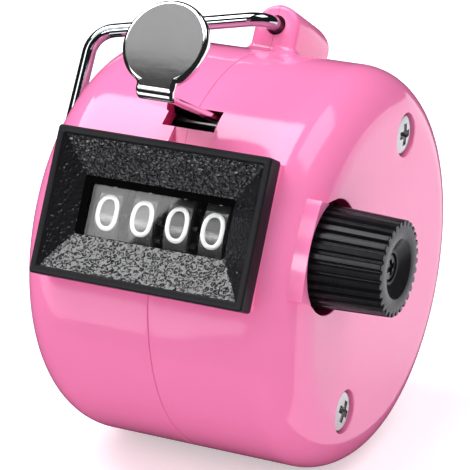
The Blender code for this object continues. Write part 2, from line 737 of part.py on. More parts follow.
# Reset knob, its shaft, its screw and the clip at the shaft's other end
KNOB_STAND = 0.0074
KNOB_PLATE_GAP = 0.0006
KNOB_TIP_RADIUS = 0.0050
KNOB_BASE_RADIUS = 0.0055
KNOB_EDGE = 0.00015
KNOB_FLUTES = 30
FLUTE_DEPTH = 0.00042
DISH_RADIUS = 0.0034
DISH_DEPTH = 0.0010
DISH_FLOOR_RADIUS = 0.0024
KNOB_SCREW_HEAD_RADIUS = 0.0014
KNOB_SCREW_HEAD_HEIGHT = 0.0007
KNOB_SCREW_SHANK_RADIUS = 0.0006
KNOB_WEB = 0.0006
SHAFT_CLIP_OVERHANG = 0.0006
SHAFT_TAP_DEPTH = 0.0025
CLIP_RADIUS = 0.0030
CLIP_THICKNESS = 0.0005
CLIP_MOUTH = 0.0012
CLIP_TONGUE_REACH = 0.0045


def fluted_ring(x, radius):
    """One section of the grip: a flat-topped rib and a groove in turn."""
    points = []
    shares = ((-0.30, 0.0), (0.12, 0.0), (0.30, 1.0), (0.52, 1.0))
    for flute in range(KNOB_FLUTES):
        for share, sunk in shares:
            angle = 2 * math.pi * (flute + share) / KNOB_FLUTES
            reach = radius - FLUTE_DEPTH * sunk
            points.append((x, reach * math.cos(angle), reach * math.sin(angle)))
    return points


def make_reset(case, plastic, steel, zinc):
    """Knob, shaft, knob screw and clip, all turning together."""
    axis = frame_at("reset_axis", case, 0.0, SHAFT_Y)
    knob_start = PLATE_OUTER_FACE + KNOB_PLATE_GAP
    knob_end = DRUM_HALF_WIDTH + KNOB_STAND
    clip_right = -(PLATE_OUTER_FACE + SEAT_GAP)
    clip_left = clip_right - CLIP_THICKNESS
    taper = KNOB_BASE_RADIUS - KNOB_TIP_RADIUS
    sections = [
        fluted_ring(knob_start, KNOB_BASE_RADIUS),
        fluted_ring(knob_end - KNOB_EDGE, KNOB_TIP_RADIUS + taper * KNOB_EDGE / knob_end),
        fluted_ring(knob_end, KNOB_TIP_RADIUS - KNOB_EDGE),
    ]
    knob = piece("reset_knob", loft(sections), axis)
    dish_floor = knob_end - DISH_DEPTH
    head_base = dish_floor - KNOB_SCREW_HEAD_HEIGHT
    shaft_end = head_base - SEAT_GAP - KNOB_WEB
    socket = bore_radius(SHAFT_RADIUS + RUNNING_GAP, SMALL_STEPS)
    throat = bore_radius(KNOB_SCREW_SHANK_RADIUS + RUNNING_GAP, SMALL_STEPS)
    seat = KNOB_SCREW_HEAD_RADIUS + RUNNING_GAP
    hollow = [
        (knob_start - CUT_OVERRUN, 0.0),
        (knob_start - CUT_OVERRUN, socket),
        (shaft_end + SEAT_GAP, socket),
        (shaft_end + SEAT_GAP, throat),
        (head_base - SEAT_GAP / 2, throat),
        (head_base - SEAT_GAP / 2, seat),
        (dish_floor, seat),
        (dish_floor, DISH_FLOOR_RADIUS),
        (knob_end, DISH_RADIUS),
        (knob_end + CUT_OVERRUN, DISH_RADIUS + CUT_OVERRUN),
        (knob_end + CUT_OVERRUN, 0.0),
    ]
    combine(knob, piece("reset_knob_hollow", turned(hollow, SMALL_STEPS + SMALL_STEPS // 2), axis), "DIFFERENCE")
    knob.data.materials.append(plastic)

    shaft = piece("reset_shaft", rod(clip_left - SHAFT_CLIP_OVERHANG, shaft_end, SHAFT_RADIUS), axis)
    tap = rod(shaft_end - SHAFT_TAP_DEPTH - SEAT_GAP, shaft_end + CUT_OVERRUN, throat)
    combine(shaft, piece("reset_shaft_tap", tap, axis), "DIFFERENCE")
    shaft.data.materials.append(steel)

    tip = shaft_end - SHAFT_TAP_DEPTH
    profile = head_profile(
        head_base, KNOB_SCREW_HEAD_HEIGHT, KNOB_SCREW_HEAD_RADIUS, KNOB_SCREW_SHANK_RADIUS, tip
    )
    screw = piece("knob_screw", turned(profile, SMALL_STEPS), axis)
    crown = head_base + KNOB_SCREW_HEAD_HEIGHT
    length_share = KNOB_SCREW_HEAD_RADIUS / SCREW_HEAD_RADIUS
    cross_recess(
        "knob_screw", screw, axis, crown, CROSS_HALF_LENGTH * length_share, CROSS_HALF_WIDTH, CROSS_DEPTH / 2
    )
    screw.data.materials.append(zinc)

    inner = bore_radius(SHAFT_RADIUS + RUNNING_GAP, SMALL_STEPS)
    clip = piece("shaft_clip", sleeve(clip_left, clip_right, CLIP_RADIUS, inner), axis)
    mouth = block(
        (clip_left - CUT_OVERRUN, 0.0, -CLIP_MOUTH), (clip_right + CUT_OVERRUN, CLIP_TONGUE_REACH, CLIP_MOUTH)
    )
    combine(clip, piece("shaft_clip_mouth", mouth, axis), "DIFFERENCE")
    clip.data.materials.append(steel)


# Thumb lever: one pressed strip with a round thumb plate, a yoke and two ears on the lever's pin
ARM_LEFT = 0.0018
ARM_RIGHT = 0.0025
THUMB_RADIUS = 0.00465
THUMB_THICKNESS = 0.0013
THUMB_EDGE = 0.0004
THUMB_REACH = 0.0060
THUMB_RISE = 0.0050
THUMB_LEAN = math.radians(10.2)
BEND_RADIUS = 0.0007
YOKE_AHEAD_OF_PIN = 0.0018
YOKE_BEHIND_PIN = 0.0022
YOKE_STEP = 0.0001
EAR_OUTER_FACE = 0.0094
EAR_ROOT_RADIUS = 0.0019
EAR_TIP_RADIUS = 0.0013
PAWL_PIN_RADIUS = 0.0006


def make_lever(case, chrome):
    """The lever turns about its pin, so its object sits on that axis."""
    pivot = frame_at("lever_axis", case, 0.0, LEVER_PIN_Y, LEVER_PIN_Z)

    def local(y, z):
        return (y - LEVER_PIN_Y, z - LEVER_PIN_Z)

    half = LEVER_THICKNESS / 2
    arm_middle = ARM_TOP - half
    thumb_y = -(DRUM_RADIUS + THUMB_REACH)
    thumb_z = ARM_TOP + THUMB_RISE
    yoke_front = LEVER_PIN_Y - YOKE_AHEAD_OF_PIN
    yoke_back = LEVER_PIN_Y + YOKE_BEHIND_PIN
    lean_y, lean_z = math.sin(THUMB_LEAN), math.cos(THUMB_LEAN)
    rise = (thumb_z - arm_middle) / lean_z
    corner = (thumb_y - rise * lean_y, arm_middle)
    start = (LEVER_PIN_Y, arm_middle)
    end = (thumb_y, thumb_z)
    path = rounded_path(
        [(0.0, *start), (0.0, *corner), (0.0, *end)], [0.0, BEND_RADIUS, 0.0], 6, False
    )
    upper, lower = [], []
    for at, point in enumerate(path):
        before = path[max(at - 1, 0)]
        after = path[min(at + 1, len(path) - 1)]
        along = (after - before).normalized()
        across = Vector((0.0, -along.z, along.y)) * half
        upper.append(local(point.y + across.y, point.z + across.z))
        lower.append(local(point.y - across.y, point.z - across.z))
    strip = prism(upper + lower[::-1], -ARM_LEFT, ARM_RIGHT)
    lever = piece("thumb_lever", strip, pivot)

    front = THUMB_THICKNESS / 2
    radius = THUMB_RADIUS
    plate = turned(
        [
            (-front, 0.0),
            (-front, radius - THUMB_EDGE),
            (-front + THUMB_EDGE, radius),
            (front - THUMB_EDGE, radius),
            (front, radius - THUMB_EDGE),
            (front, 0.0),
        ],
        ROUND_STEPS,
    )
    turn = Matrix.Rotation(math.radians(90), 3, "Z")
    bmesh.ops.rotate(plate, verts=plate.verts, cent=(0, 0, 0), matrix=turn)
    tilt = Matrix.Rotation(-THUMB_LEAN, 3, "X")
    bmesh.ops.rotate(plate, verts=plate.verts, cent=(0, 0, 0), matrix=tilt)
    y, z = local(thumb_y, thumb_z)
    combine(lever, piece("thumb_plate", plate, pivot, 0, y, z), "UNION")

    low_y, low_z = local(yoke_front, ARM_TOP - LEVER_THICKNESS - YOKE_STEP)
    high_y, high_z = local(yoke_back, ARM_TOP + YOKE_STEP)
    yoke_half = EAR_OUTER_FACE - YOKE_STEP
    yoke = block((-yoke_half, low_y, low_z), (yoke_half, high_y, high_z))
    combine(lever, piece("lever_yoke", yoke, pivot), "UNION")
    inner = EAR_OUTER_FACE - LEVER_THICKNESS
    yoke_foot = [(low_y, high_z, 0.0), (high_y, high_z, 0.0)]
    pawl_y, pawl_z = local(PAWL_PIN_Y, PAWL_PIN_Z)
    left = hull_outline([(0.0, 0.0, EAR_ROOT_RADIUS), *[(a, b, half / 4) for a, b, _ in yoke_foot]], 16)
    combine(lever, piece("lever_left_ear", prism(left, -EAR_OUTER_FACE, -inner), pivot), "UNION")
    combine(lever, piece("lever_right_ear", prism(left, inner, EAR_OUTER_FACE), pivot), "UNION")
    drop = hull_outline([(0.0, 0.0, EAR_TIP_RADIUS), (pawl_y, pawl_z, EAR_TIP_RADIUS)], 16)
    drive = prism(drop, inner + YOKE_STEP, EAR_OUTER_FACE - YOKE_STEP)
    combine(lever, piece("lever_drive_arm", drive, pivot), "UNION")

    wide = EAR_OUTER_FACE + CUT_OVERRUN
    pin_hole = bore_radius(LEVER_PIN_RADIUS + RUNNING_GAP, SMALL_STEPS)
    combine(lever, piece("lever_pin_hole", rod(-wide, wide, pin_hole), pivot), "DIFFERENCE")
    pawl_hole = bore_radius(PAWL_PIN_RADIUS + RUNNING_GAP, SMALL_STEPS)
    drill = rod(inner - CUT_OVERRUN, wide, pawl_hole)
    combine(lever, piece("lever_pawl_hole", drill, pivot, 0, pawl_y, pawl_z), "DIFFERENCE")
    lever.data.materials.append(chrome)
    return pivot


# Drive pawl, which hooks the ratchet from below and pulls it one tooth a stroke
PAWL_TIP_BEHIND_SHAFT = 0.0002
PAWL_TIP_GAP = 0.00035
PAWL_HUB_RADIUS = 0.0012
PAWL_HEEL_DROP = 0.0014
PAWL_NOSE = 0.0006


def make_pawl(lever_pivot, brass, steel):
    """The pawl and the pin that it swings on, both carried by the lever's drive arm."""
    y = PAWL_PIN_Y - LEVER_PIN_Y
    z = PAWL_PIN_Z - LEVER_PIN_Z
    axis = frame_at("pawl_axis", lever_pivot, 0.0, y, z)
    start = wheel_centre(WHEEL_COUNT - 1) + RIM_HALF_WIDTH + RUNNING_GAP
    tip_y = SHAFT_Y + PAWL_TIP_BEHIND_SHAFT
    tip_z = -(RATCHET_TIP_RADIUS + PAWL_TIP_GAP)
    tip = (tip_y - PAWL_PIN_Y, tip_z - PAWL_PIN_Z)
    below = (tip[0] - PAWL_NOSE / 2, tip[1] - PAWL_HEEL_DROP)
    arm = hull_outline([(0.0, 0.0, PAWL_HUB_RADIUS), (below[0], below[1], PAWL_NOSE)], 16)
    pawl = piece("drive_pawl", prism(arm, start, start + RATCHET_WIDTH), axis)
    hook = [
        (tip[0] + PAWL_NOSE, below[1]),
        (tip[0] + PAWL_NOSE / 2, tip[1] - PAWL_NOSE / 2),
        tip,
        (tip[0] - PAWL_NOSE, below[1]),
    ]
    combine(pawl, piece("drive_pawl_hook", prism(hook, start, start + RATCHET_WIDTH), axis), "UNION")
    hole = bore_radius(PAWL_PIN_RADIUS + RUNNING_GAP, SMALL_STEPS)
    far = start + RATCHET_WIDTH + CUT_OVERRUN
    combine(pawl, piece("drive_pawl_hole", rod(start - CUT_OVERRUN, far, hole), axis), "DIFFERENCE")
    pawl.data.materials.append(brass)
    pin_high = EAR_OUTER_FACE + RUNNING_GAP
    pin = piece("pawl_pin", rod(start - RUNNING_GAP, pin_high, PAWL_PIN_RADIUS), axis)
    pin.data.materials.append(steel)


# Springs
COIL_RADIUS = 0.00115
COIL_WIRE_RADIUS = 0.000175
COIL_TURNS = 7
COIL_LEFT = -0.0080
COIL_RIGHT = -0.0040
COIL_LEG_FRONT = 0.0016
CLICK_THICKNESS = 0.00035
CLICK_TIP_GAP = 0.0003


def make_return_spring(case, steel):
    """Torsion spring on the lever's pin: one leg lifts the yoke, the other bears up on the post."""
    steps = 10
    points = []
    yoke_under = ARM_TOP - LEVER_THICKNESS - YOKE_STEP - COIL_WIRE_RADIUS - RUNNING_GAP - LEVER_PIN_Z
    points.append(Vector((COIL_LEFT, -COIL_LEG_FRONT, yoke_under)))
    total = COIL_TURNS * steps
    for step in range(total + 1):
        turn = math.radians(125) + 2 * math.pi * (step / steps) + math.radians(145) * step / total
        x = COIL_LEFT + (COIL_RIGHT - COIL_LEFT) * step / total
        points.append(Vector((x, COIL_RADIUS * math.cos(turn), COIL_RADIUS * math.sin(turn))))
    under_post = -SPRING_POST_BELOW_PIN - SPRING_POST_RADIUS - COIL_WIRE_RADIUS - RUNNING_GAP
    points.append(Vector((COIL_RIGHT, SPRING_POST_BEHIND_PIN, under_post)))
    made = wire("return_spring", points, COIL_WIRE_RADIUS, case, 0, False, 0, LEVER_PIN_Y, LEVER_PIN_Z)
    made.data.materials.append(steel)


def make_click_spring(case, steel):
    """Leaf that clicks over the ratchet and stops it turning back, clipped round the top spacer."""
    start = wheel_centre(WHEEL_COUNT - 1) + RIM_HALF_WIDTH + RUNNING_GAP
    reach = RATCHET_TIP_RADIUS + CLICK_TIP_GAP
    tip_y = SHAFT_Y + reach * math.cos(math.radians(45))
    tip_z = reach * math.sin(math.radians(45))
    foot_radius = SPACER_RADIUS + SEAT_GAP
    spacer_y, spacer_z = screw_places()[0]
    bend_y = LEVER_PIN_Y + SPRING_POST_BEHIND_PIN + SPRING_POST_RADIUS + SEAT_GAP
    bend_z = LEVER_PIN_Z - SPRING_POST_BELOW_PIN - SPRING_POST_RADIUS
    clip = arc(spacer_y, spacer_z, foot_radius + CLICK_THICKNESS, 180, 20, 10)
    clip_in = arc(spacer_y, spacer_z, foot_radius, 20, 180, 10)
    outline = [
        (tip_y, tip_z),
        (tip_y - CLICK_THICKNESS, tip_z + CLICK_THICKNESS * 2),
        (bend_y, bend_z),
        *clip,
        *clip_in,
        (bend_y + CLICK_THICKNESS * 2, bend_z),
    ]
    made = piece("click_spring", prism(outline, start, start + RATCHET_WIDTH), case)
    made.data.materials.append(steel)


# Finger loop: one wire through the lug, out over the left rim and down beside the end face
LOOP_HOLE_EXIT = 0.0076
LOOP_END_GAP = 0.0029
LOOP_ELBOW_DROP = 0.0046
LOOP_ELBOW_SPREAD = 0.0093
LOOP_FOOT_DROP = 0.0204
LOOP_FIRST_BEND = 0.0024
LOOP_ELBOW_BEND = 0.0030
LOOP_FOOT_BEND = 0.0045


def make_loop(lug_frame, chrome):
    """The loop swings about the lug's hole, where its object sits."""
    elbow_out = DRUM_HALF_WIDTH + LOOP_END_GAP
    corners = [
        (0.0, -LOOP_HOLE_EXIT, 0.0),
        (-elbow_out, -LOOP_ELBOW_SPREAD, -LOOP_ELBOW_DROP),
        (-elbow_out, -LOOP_ELBOW_SPREAD, -LOOP_FOOT_DROP),
        (-elbow_out, LOOP_ELBOW_SPREAD, -LOOP_FOOT_DROP),
        (-elbow_out, LOOP_ELBOW_SPREAD, -LOOP_ELBOW_DROP),
        (0.0, LOOP_HOLE_EXIT, 0.0),
    ]
    bends = [
        LOOP_FIRST_BEND,
        LOOP_ELBOW_BEND,
        LOOP_FOOT_BEND,
        LOOP_FOOT_BEND,
        LOOP_ELBOW_BEND,
        LOOP_FIRST_BEND,
    ]
    points = rounded_path(corners, bends, 6, True)
    made = wire("finger_loop", points, LOOP_WIRE_RADIUS, lug_frame, 3, True, 0, 0, DRUM_RADIUS + LOOP_HOLE_HEIGHT)
    made.data.materials.append(chrome)


def build():
    """Makes every piece in the leaned case frame."""
    clear_scene()
    pink = material("pink_plastic", (0.95, 0.18, 0.42), 0.25)
    black = material("black_plastic", (0.012, 0.012, 0.014), 0.35)
    dark = material("wheel_plastic", (0.02, 0.02, 0.022), 0.45)
    clear = material("clear_plastic", (0.9, 0.95, 0.95), 0.05, 0.0, 0.3)
    chrome = material("chrome", (0.75, 0.75, 0.76), 0.12, 1.0)
    steel = material("frame_steel", (0.55, 0.55, 0.56), 0.35, 1.0)
    zinc = material("zinc_screw", (0.7, 0.7, 0.68), 0.3, 1.0)
    brass = material("gear_plastic", (0.75, 0.72, 0.62), 0.45)

    case = frame_at("case_frame", None, DRUM_HALF_WIDTH, 0.0, 0.0, -LEAN_BACK)
    lug_frame = frame_at("lug_frame", case, 0.0, 0.0, 0.0, -LUG_SET_BACK)
    shell("left_shell", -1, case, lug_frame, pink)
    shell("right_shell", 1, case, lug_frame, pink)
    make_bezel(case, black)
    make_lens(case, clear)
    make_frame(case, steel)
    make_case_screws(case, zinc)
    make_wheels(case, dark)
    make_ratchet(case, brass)
    make_pinions(case, brass, steel)
    make_reset(case, black, steel, zinc)
    lever_pivot = make_lever(case, chrome)
    make_pawl(lever_pivot, brass, steel)
    make_return_spring(case, steel)
    make_click_spring(case, steel)
    make_loop(lug_frame, chrome)


build()
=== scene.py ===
"""Looks of a pink four-digit hand tally counter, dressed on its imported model."""

import bmesh
import bpy
import numpy as np
from mathutils import Matrix, Vector


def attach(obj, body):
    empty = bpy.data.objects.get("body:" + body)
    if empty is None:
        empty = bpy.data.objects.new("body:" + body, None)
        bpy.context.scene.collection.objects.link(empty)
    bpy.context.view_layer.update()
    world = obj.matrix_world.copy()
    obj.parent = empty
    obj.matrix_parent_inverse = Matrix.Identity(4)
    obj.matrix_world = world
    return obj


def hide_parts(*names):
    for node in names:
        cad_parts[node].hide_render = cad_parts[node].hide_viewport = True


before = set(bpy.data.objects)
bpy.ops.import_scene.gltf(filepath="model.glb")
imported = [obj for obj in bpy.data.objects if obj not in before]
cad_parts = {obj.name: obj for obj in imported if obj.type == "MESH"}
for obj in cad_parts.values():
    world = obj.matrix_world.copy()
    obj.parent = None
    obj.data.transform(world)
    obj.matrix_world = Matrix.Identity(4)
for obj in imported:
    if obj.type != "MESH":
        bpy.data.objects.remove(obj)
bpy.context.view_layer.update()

# Camera: a long lens a little above the counter, to the right of its front. Its frame is shifted to
# hold the whole counter as the photograph does.
CAMERA_BACK = np.array((0.41550, -0.83530, 0.36003))
CAMERA_RIGHT = np.array((0.89533, 0.44539, 0.0))
CAMERA_DISTANCE = 0.27775
CAMERA_AIM = np.array((0.0165, 0.0, 0.0))
LENS_LENGTH = 193.58
SENSOR_WIDTH = 36.0
SHIFT_X = -0.01704
SHIFT_Y = 0.03143

scene = bpy.context.scene
scene.view_settings.view_transform = "Standard"
camera_up = np.cross(CAMERA_BACK, CAMERA_RIGHT)
camera_place = CAMERA_AIM + CAMERA_BACK * CAMERA_DISTANCE
axes = np.eye(4)
axes[:3, 0] = CAMERA_RIGHT
axes[:3, 1] = camera_up
axes[:3, 2] = CAMERA_BACK
axes[:3, 3] = camera_place
camera_data = bpy.data.cameras.new("camera")
camera_data.lens = LENS_LENGTH
camera_data.sensor_width = SENSOR_WIDTH
camera_data.shift_x = SHIFT_X
camera_data.shift_y = SHIFT_Y
camera_data.clip_start = 0.01
camera = bpy.data.objects.new("camera", camera_data)
camera.matrix_world = Matrix(axes.tolist())
scene.collection.objects.link(camera)
scene.camera = camera

# Floor and light: a pale floor that goes to white far off, a large soft lamp in front on the left, two
# overhead and a fill on the right. The boards, cloths and dim dome round them show only in what is
# glossy: they give the lamps their shapes in the window and on the drum, and keep its edges dark.
FLOOR_HEIGHT = -0.02205
FLOOR_HALF = 2.0
FLOOR_COLOUR = (0.86, 0.86, 0.86, 1.0)
FLOOR_GLOW = 0.45
FAR_FLOOR = (0.35, 1.0)
FLOOR_ROUGHNESS = 0.9
SKY_STRENGTH = 0.28
KEY_EDGE = Vector((-0.2539, -0.4822, 0.2832))
KEY_ALONG = Vector((0.56675, 0.15144, 0.80985))
KEY_INWARD = Vector((-0.69363, 0.61815, 0.36983))
KEY_LENGTH = 0.34
KEY_WIDTH = 0.18
KEY_POWER = 0.75
KEY_GLOW = 2.7
KEY_FACING = Vector((-0.4446, -0.7713, 0.4554))
FILL_PLACE = Vector((0.62, -0.30, 0.22))
FILL_SIZE = 0.42
FILL_POWER = 1.05
LEFT_TOP_PLACE = Vector((-0.33, -0.11, 0.60))
LEFT_TOP_SIZE = (0.38, 0.66)
LEFT_TOP_POWER = 4.6
LEFT_TOP_GLOW = 6.4
LEFT_TOP_EDGE = ((-1.1, -0.38), (0.0, -0.38), (0.0, 0.08), (-0.55, 0.17), (-1.1, 0.60))
RIGHT_TOP_PLACE = Vector((0.325, 0.10, 0.60))
RIGHT_TOP_SIZE = (0.45, 0.39)
RIGHT_TOP_POWER = 1.8
TOP_TINT = (0.95, 0.93, 1.0)
OVERHEAD = Vector((0.0, 0.0, 1.0))
COUNTER_MIDDLE = Vector((0.018, -0.008, 0.002))
CARD_EDGE = Vector((-0.22766, -0.29272, 0.41622))
CARD_FACING = Vector((-0.455, -0.504, 0.734))
CARD_UPWARD = Vector((0.0, 0.8246, 0.5657))
CARD_SIZE = 0.07
CARD_GREY = 0.42
SHADE_GREY = 0.012
SHADE_HEIGHT = 0.075
LOW_STRIP_LEFT = (-0.46, -0.44)
LOW_STRIP_RIGHT = (-0.02, -0.62)
LOW_STRIP_HEIGHTS = (0.165, 0.265)
LOW_STRIP_GLOW = 8.0
PALE_BOARD_HEIGHTS = (0.05, 0.165)
PALE_BOARD_GREY = 0.7
TABLE_CLOTHS = (
    ((-0.94, -0.94), (0.94, -0.10)),
    ((-0.94, -0.10), (-0.12, 0.94)),
    ((-0.12, -0.05), (0.035, 0.94)),
    ((0.003, -0.10), (0.035, -0.05)),
    ((0.035, -0.10), (0.94, -0.02)),
)
CLOTH_RISE = 0.0004
STUDIO_RADIUS = 0.95
STUDIO_GREY = 0.02
STUDIO_RINGS = 12
STUDIO_SIDES = 48


def feed(tree, node, inputs):
    """Sets a node's inputs: another node's output is linked to the input, a plain value is stored."""
    for name, value in inputs.items():
        if isinstance(value, bpy.types.NodeSocket):
            tree.links.new(value, node.inputs[name])
        else:
            node.inputs[name].default_value = value


def added(tree, kind, inputs, **settings):
    """Adds a node of a kind to a tree, with its settings and inputs, and gives its outputs."""
    node = tree.nodes.new("ShaderNode" + kind)
    for setting, value in settings.items():
        setattr(node, setting, value)
    feed(tree, node, inputs)
    return node.outputs


def seen_directly(tree):
    """Is 1 for the camera's rays and for those that reach it by a gloss or through the clear plate."""
    path = added(tree, "LightPath", {})
    direct = {0: path["Is Camera Ray"], 1: path["Is Glossy Ray"]}
    either = added(tree, "Math", direct, operation="MAXIMUM")[0]
    return added(tree, "Math", {0: either, 1: path["Is Transmission Ray"]}, operation="MAXIMUM")[0]


world = bpy.data.worlds.new("studio")
world.use_nodes = True
scene.world = world
tree = world.node_tree
level = added(tree, "MapRange", {"Value": seen_directly(tree), "To Min": SKY_STRENGTH, "To Max": 1.0})
feed(tree, tree.nodes["Background"], {"Color": (1.0, 1.0, 1.0, 1.0), "Strength": level["Result"]})

floor_mesh = bpy.data.meshes.new("floor")
reach = FLOOR_HALF
floor_corners = [(x * reach, y * reach, FLOOR_HEIGHT) for x, y in ((-1, -1), (1, -1), (1, 1), (-1, 1))]
floor_mesh.from_pydata(floor_corners, [], [(0, 1, 2, 3)])
floor = bpy.data.objects.new("floor", floor_mesh)
scene.collection.objects.link(floor)
floor_paint = bpy.data.materials.new("floor_paint")
floor_paint.use_nodes = True
tree = floor_paint.node_tree
spot = added(tree, "TexCoord", {})["Object"]
away = added(tree, "VectorMath", {0: spot}, operation="LENGTH")["Value"]
near_and_far = {"From Min": FAR_FLOOR[0], "From Max": FAR_FLOOR[1], "To Min": FLOOR_GLOW, "To Max": 1.0}
rise = added(tree, "MapRange", {"Value": away, **near_and_far})["Result"]
glow = added(tree, "MapRange", {"Value": seen_directly(tree), "To Min": 0.0, "To Max": rise})["Result"]
floor_look = {
    "Base Color": FLOOR_COLOUR,
    "Roughness": FLOOR_ROUGHNESS,
    "Specular IOR Level": 0.1,
    "Emission Color": (1.0, 1.0, 1.0, 1.0),
    "Emission Strength": glow,
}
feed(tree, tree.nodes["Principled BSDF"], floor_look)
floor_mesh.materials.append(floor_paint)


def lamp(name, place, back, width, length, power, along=(0.0, 0.0, 1.0)):
    """A rectangular soft lamp with its back turned to one line and its length along another."""
    light = bpy.data.lights.new(name, "AREA")
    light.shape = "RECTANGLE"
    light.size = width
    light.size_y = length
    light.energy = power
    made = bpy.data.objects.new(name, light)
    back = back.normalized()
    side = Vector(along).cross(back).normalized()
    upward = back.cross(side)
    turn = Matrix((side, upward, back)).transposed().to_4x4()
    made.matrix_world = Matrix.Translation(place) @ turn
    scene.collection.objects.link(made)
    return made


key_place = KEY_EDGE + KEY_INWARD * (KEY_WIDTH / 2)
key = lamp("key", key_place, KEY_FACING, KEY_WIDTH, KEY_LENGTH, KEY_POWER, KEY_ALONG)
key.visible_glossy = False
key.visible_transmission = False
fill = lamp("fill", FILL_PLACE, FILL_PLACE - COUNTER_MIDDLE, FILL_SIZE, FILL_SIZE, FILL_POWER)
fill.visible_glossy = False
left_top = lamp("left_top", LEFT_TOP_PLACE, OVERHEAD, *LEFT_TOP_SIZE, LEFT_TOP_POWER, (1.0, 0.0, 0.0))
right_top = lamp("right_top", RIGHT_TOP_PLACE, OVERHEAD, *RIGHT_TOP_SIZE, RIGHT_TOP_POWER, (1.0, 0.0, 0.0))
left_top.visible_glossy = False
left_top.visible_transmission = False
left_top.data.color = TOP_TINT
right_top.data.color = TOP_TINT


def studio_board(name, corners, grey, faces=None):
    """A board of one even grey or glow that only a gloss shows: it throws no light and no shadow."""
    faces = faces if faces is not None else [tuple(range(len(corners)))]
    mesh = bpy.data.meshes.new(name)
    mesh.from_pydata(corners, [], faces)
    made = bpy.data.objects.new(name, mesh)
    scene.collection.objects.link(made)
    board_paint = bpy.data.materials.new(name + "_paint")
    board_paint.use_nodes = True
    board_look = {
        "Base Color": (0.0, 0.0, 0.0, 1.0),
        "Roughness": 1.0,
        "Specular IOR Level": 0.0,
        "Emission Color": (grey, grey, grey, 1.0),
        "Emission Strength": 1.0,
    }
    tree = board_paint.node_tree
    feed(tree, tree.nodes["Principled BSDF"], board_look)
    mesh.materials.append(board_paint)
    made.visible_camera = False
    made.visible_diffuse = False
    made.visible_shadow = False


card_side = CARD_UPWARD.cross(CARD_FACING).normalized()
card_up = CARD_FACING.cross(card_side).normalized()
for name, foot, head, grey in (
    ("grey_card", 0.0, 1.0, CARD_GREY),
    ("shade_card", -SHADE_HEIGHT / CARD_SIZE, 0.0, SHADE_GREY),
):
    square = ((-0.5, foot), (0.5, foot), (0.5, head), (-0.5, head))
    card_corners = [tuple(CARD_EDGE + (card_side * a + card_up * b) * CARD_SIZE) for a, b in square]
    studio_board(name, card_corners, grey)
for name, (low, high), grey in (
    ("low_strip", LOW_STRIP_HEIGHTS, LOW_STRIP_GLOW),
    ("pale_board", PALE_BOARD_HEIGHTS, PALE_BOARD_GREY),
):
    left, right = LOW_STRIP_LEFT, LOW_STRIP_RIGHT
    studio_board(name, [(*left, low), (*right, low), (*right, high), (*left, high)], grey)
cloth_height = FLOOR_HEIGHT + CLOTH_RISE
for number, ((x0, y0), (x1, y1)) in enumerate(TABLE_CLOTHS):
    cloth_corners = [(x, y, cloth_height) for x, y in ((x0, y0), (x1, y0), (x1, y1), (x0, y1))]
    studio_board(f"table_cloth_{number}", cloth_corners, STUDIO_GREY)

# The dome's points: cosine of height times cosine and sine of bearing, and sine of height, times radius
rings = np.linspace(0, np.pi / 2, STUDIO_RINGS)
height, bearing = np.meshgrid(rings, 2 * np.pi * np.arange(STUDIO_SIDES) / STUDIO_SIDES)
dome = np.stack([np.cos(height) * np.cos(bearing), np.cos(height) * np.sin(bearing), np.sin(height)], -1)
dome = dome * STUDIO_RADIUS + (0.0, 0.0, FLOOR_HEIGHT)
number = np.arange(STUDIO_SIDES * STUDIO_RINGS).reshape(STUDIO_SIDES, STUDIO_RINGS)
beside = np.roll(number, -1, 0)
panels = np.stack([number[:, :-1], beside[:, :-1], beside[:, 1:], number[:, 1:]], -1)
studio_board("dim_studio", dome.reshape(-1, 3).tolist(), STUDIO_GREY, panels.reshape(-1, 4).tolist())

glow_height = LEFT_TOP_PLACE.z
studio_board("left_top_glow", [(x, y, glow_height) for x, y in LEFT_TOP_EDGE], LEFT_TOP_GLOW)
key_square = ((0.0, -0.5), (1.0, -0.5), (1.0, 0.5), (0.0, 0.5))
key_glow = [tuple(KEY_EDGE + KEY_INWARD * a * KEY_WIDTH + KEY_ALONG * b * KEY_LENGTH) for a, b in key_square]
studio_board("key_glow", key_glow, KEY_GLOW)

# Shells: two cups moulded in glossy pink plastic. They meet on the middle plane with a hairline
# joint, share the lug on top, and are held by two long screws from the right end.
DRUM_RADIUS = 0.022
DRUM_HALF_WIDTH = 0.0165
LEAN_BACK = np.radians(26.8)
RIM_ROUNDING = 0.0055
CASE_WALL = 0.0016
JOINT_GAP = 0.00004
JOINT_ROUNDING = 0.00012
ROUND_STEPS = 256
SHAFT_Y = -0.0142
KNOB_HOLE_RADIUS = 0.00605
KNOB_HOLE_LIP = 0.0001
KNOB_PAD_RADIUS = 0.0204
KNOB_PAD_REAR = -0.0173
KNOB_PAD_HEIGHTS = (-0.0054, 0.0050)
KNOB_PAD_FOOT = 0.0128
PAD_SHY = 0.00001
KNOB_HOLE_START = 0.010
DRILL_PAST = 0.003
CUT_REACH = 0.03
CUT_SHADE = 0.0001
SEAT_RADIUS = 0.0024
SEAT_DEPTH = 0.0014
SEAT_LIP = 0.00015
CASE_SCREWS = ((-0.0008, 0.0152), (-0.0023, -0.0152))
SLOT_HALF_WIDTH = 0.003
SLOT_BOTTOM = 0.01015
SLOT_TOP = 0.01255
SLOT_END = -0.0134
LAND = ((-0.0015, -CUT_REACH, 0.0077), (0.0034, -0.01936, 0.01035))
BEZEL_SEAT = ((-0.0120, -0.02204, -0.0073), (0.0120, -0.0185, 0.0078))
OPENING_HALF_WIDTH = 0.0100
OPENING_HALF_HEIGHT = 0.0052
LUG_HALF_WIDTH = 0.00265
LUG_FRONT = -0.0049
LUG_BACK = 0.0052
LUG_RISE = 0.0048
LUG_FRONT_ROUNDING = 0.0006
LUG_BACK_ROUNDING = 0.0025
LUG_FLARE = 0.0006
LUG_CORNER = 0.0007
LUG_FOOT = 0.0012
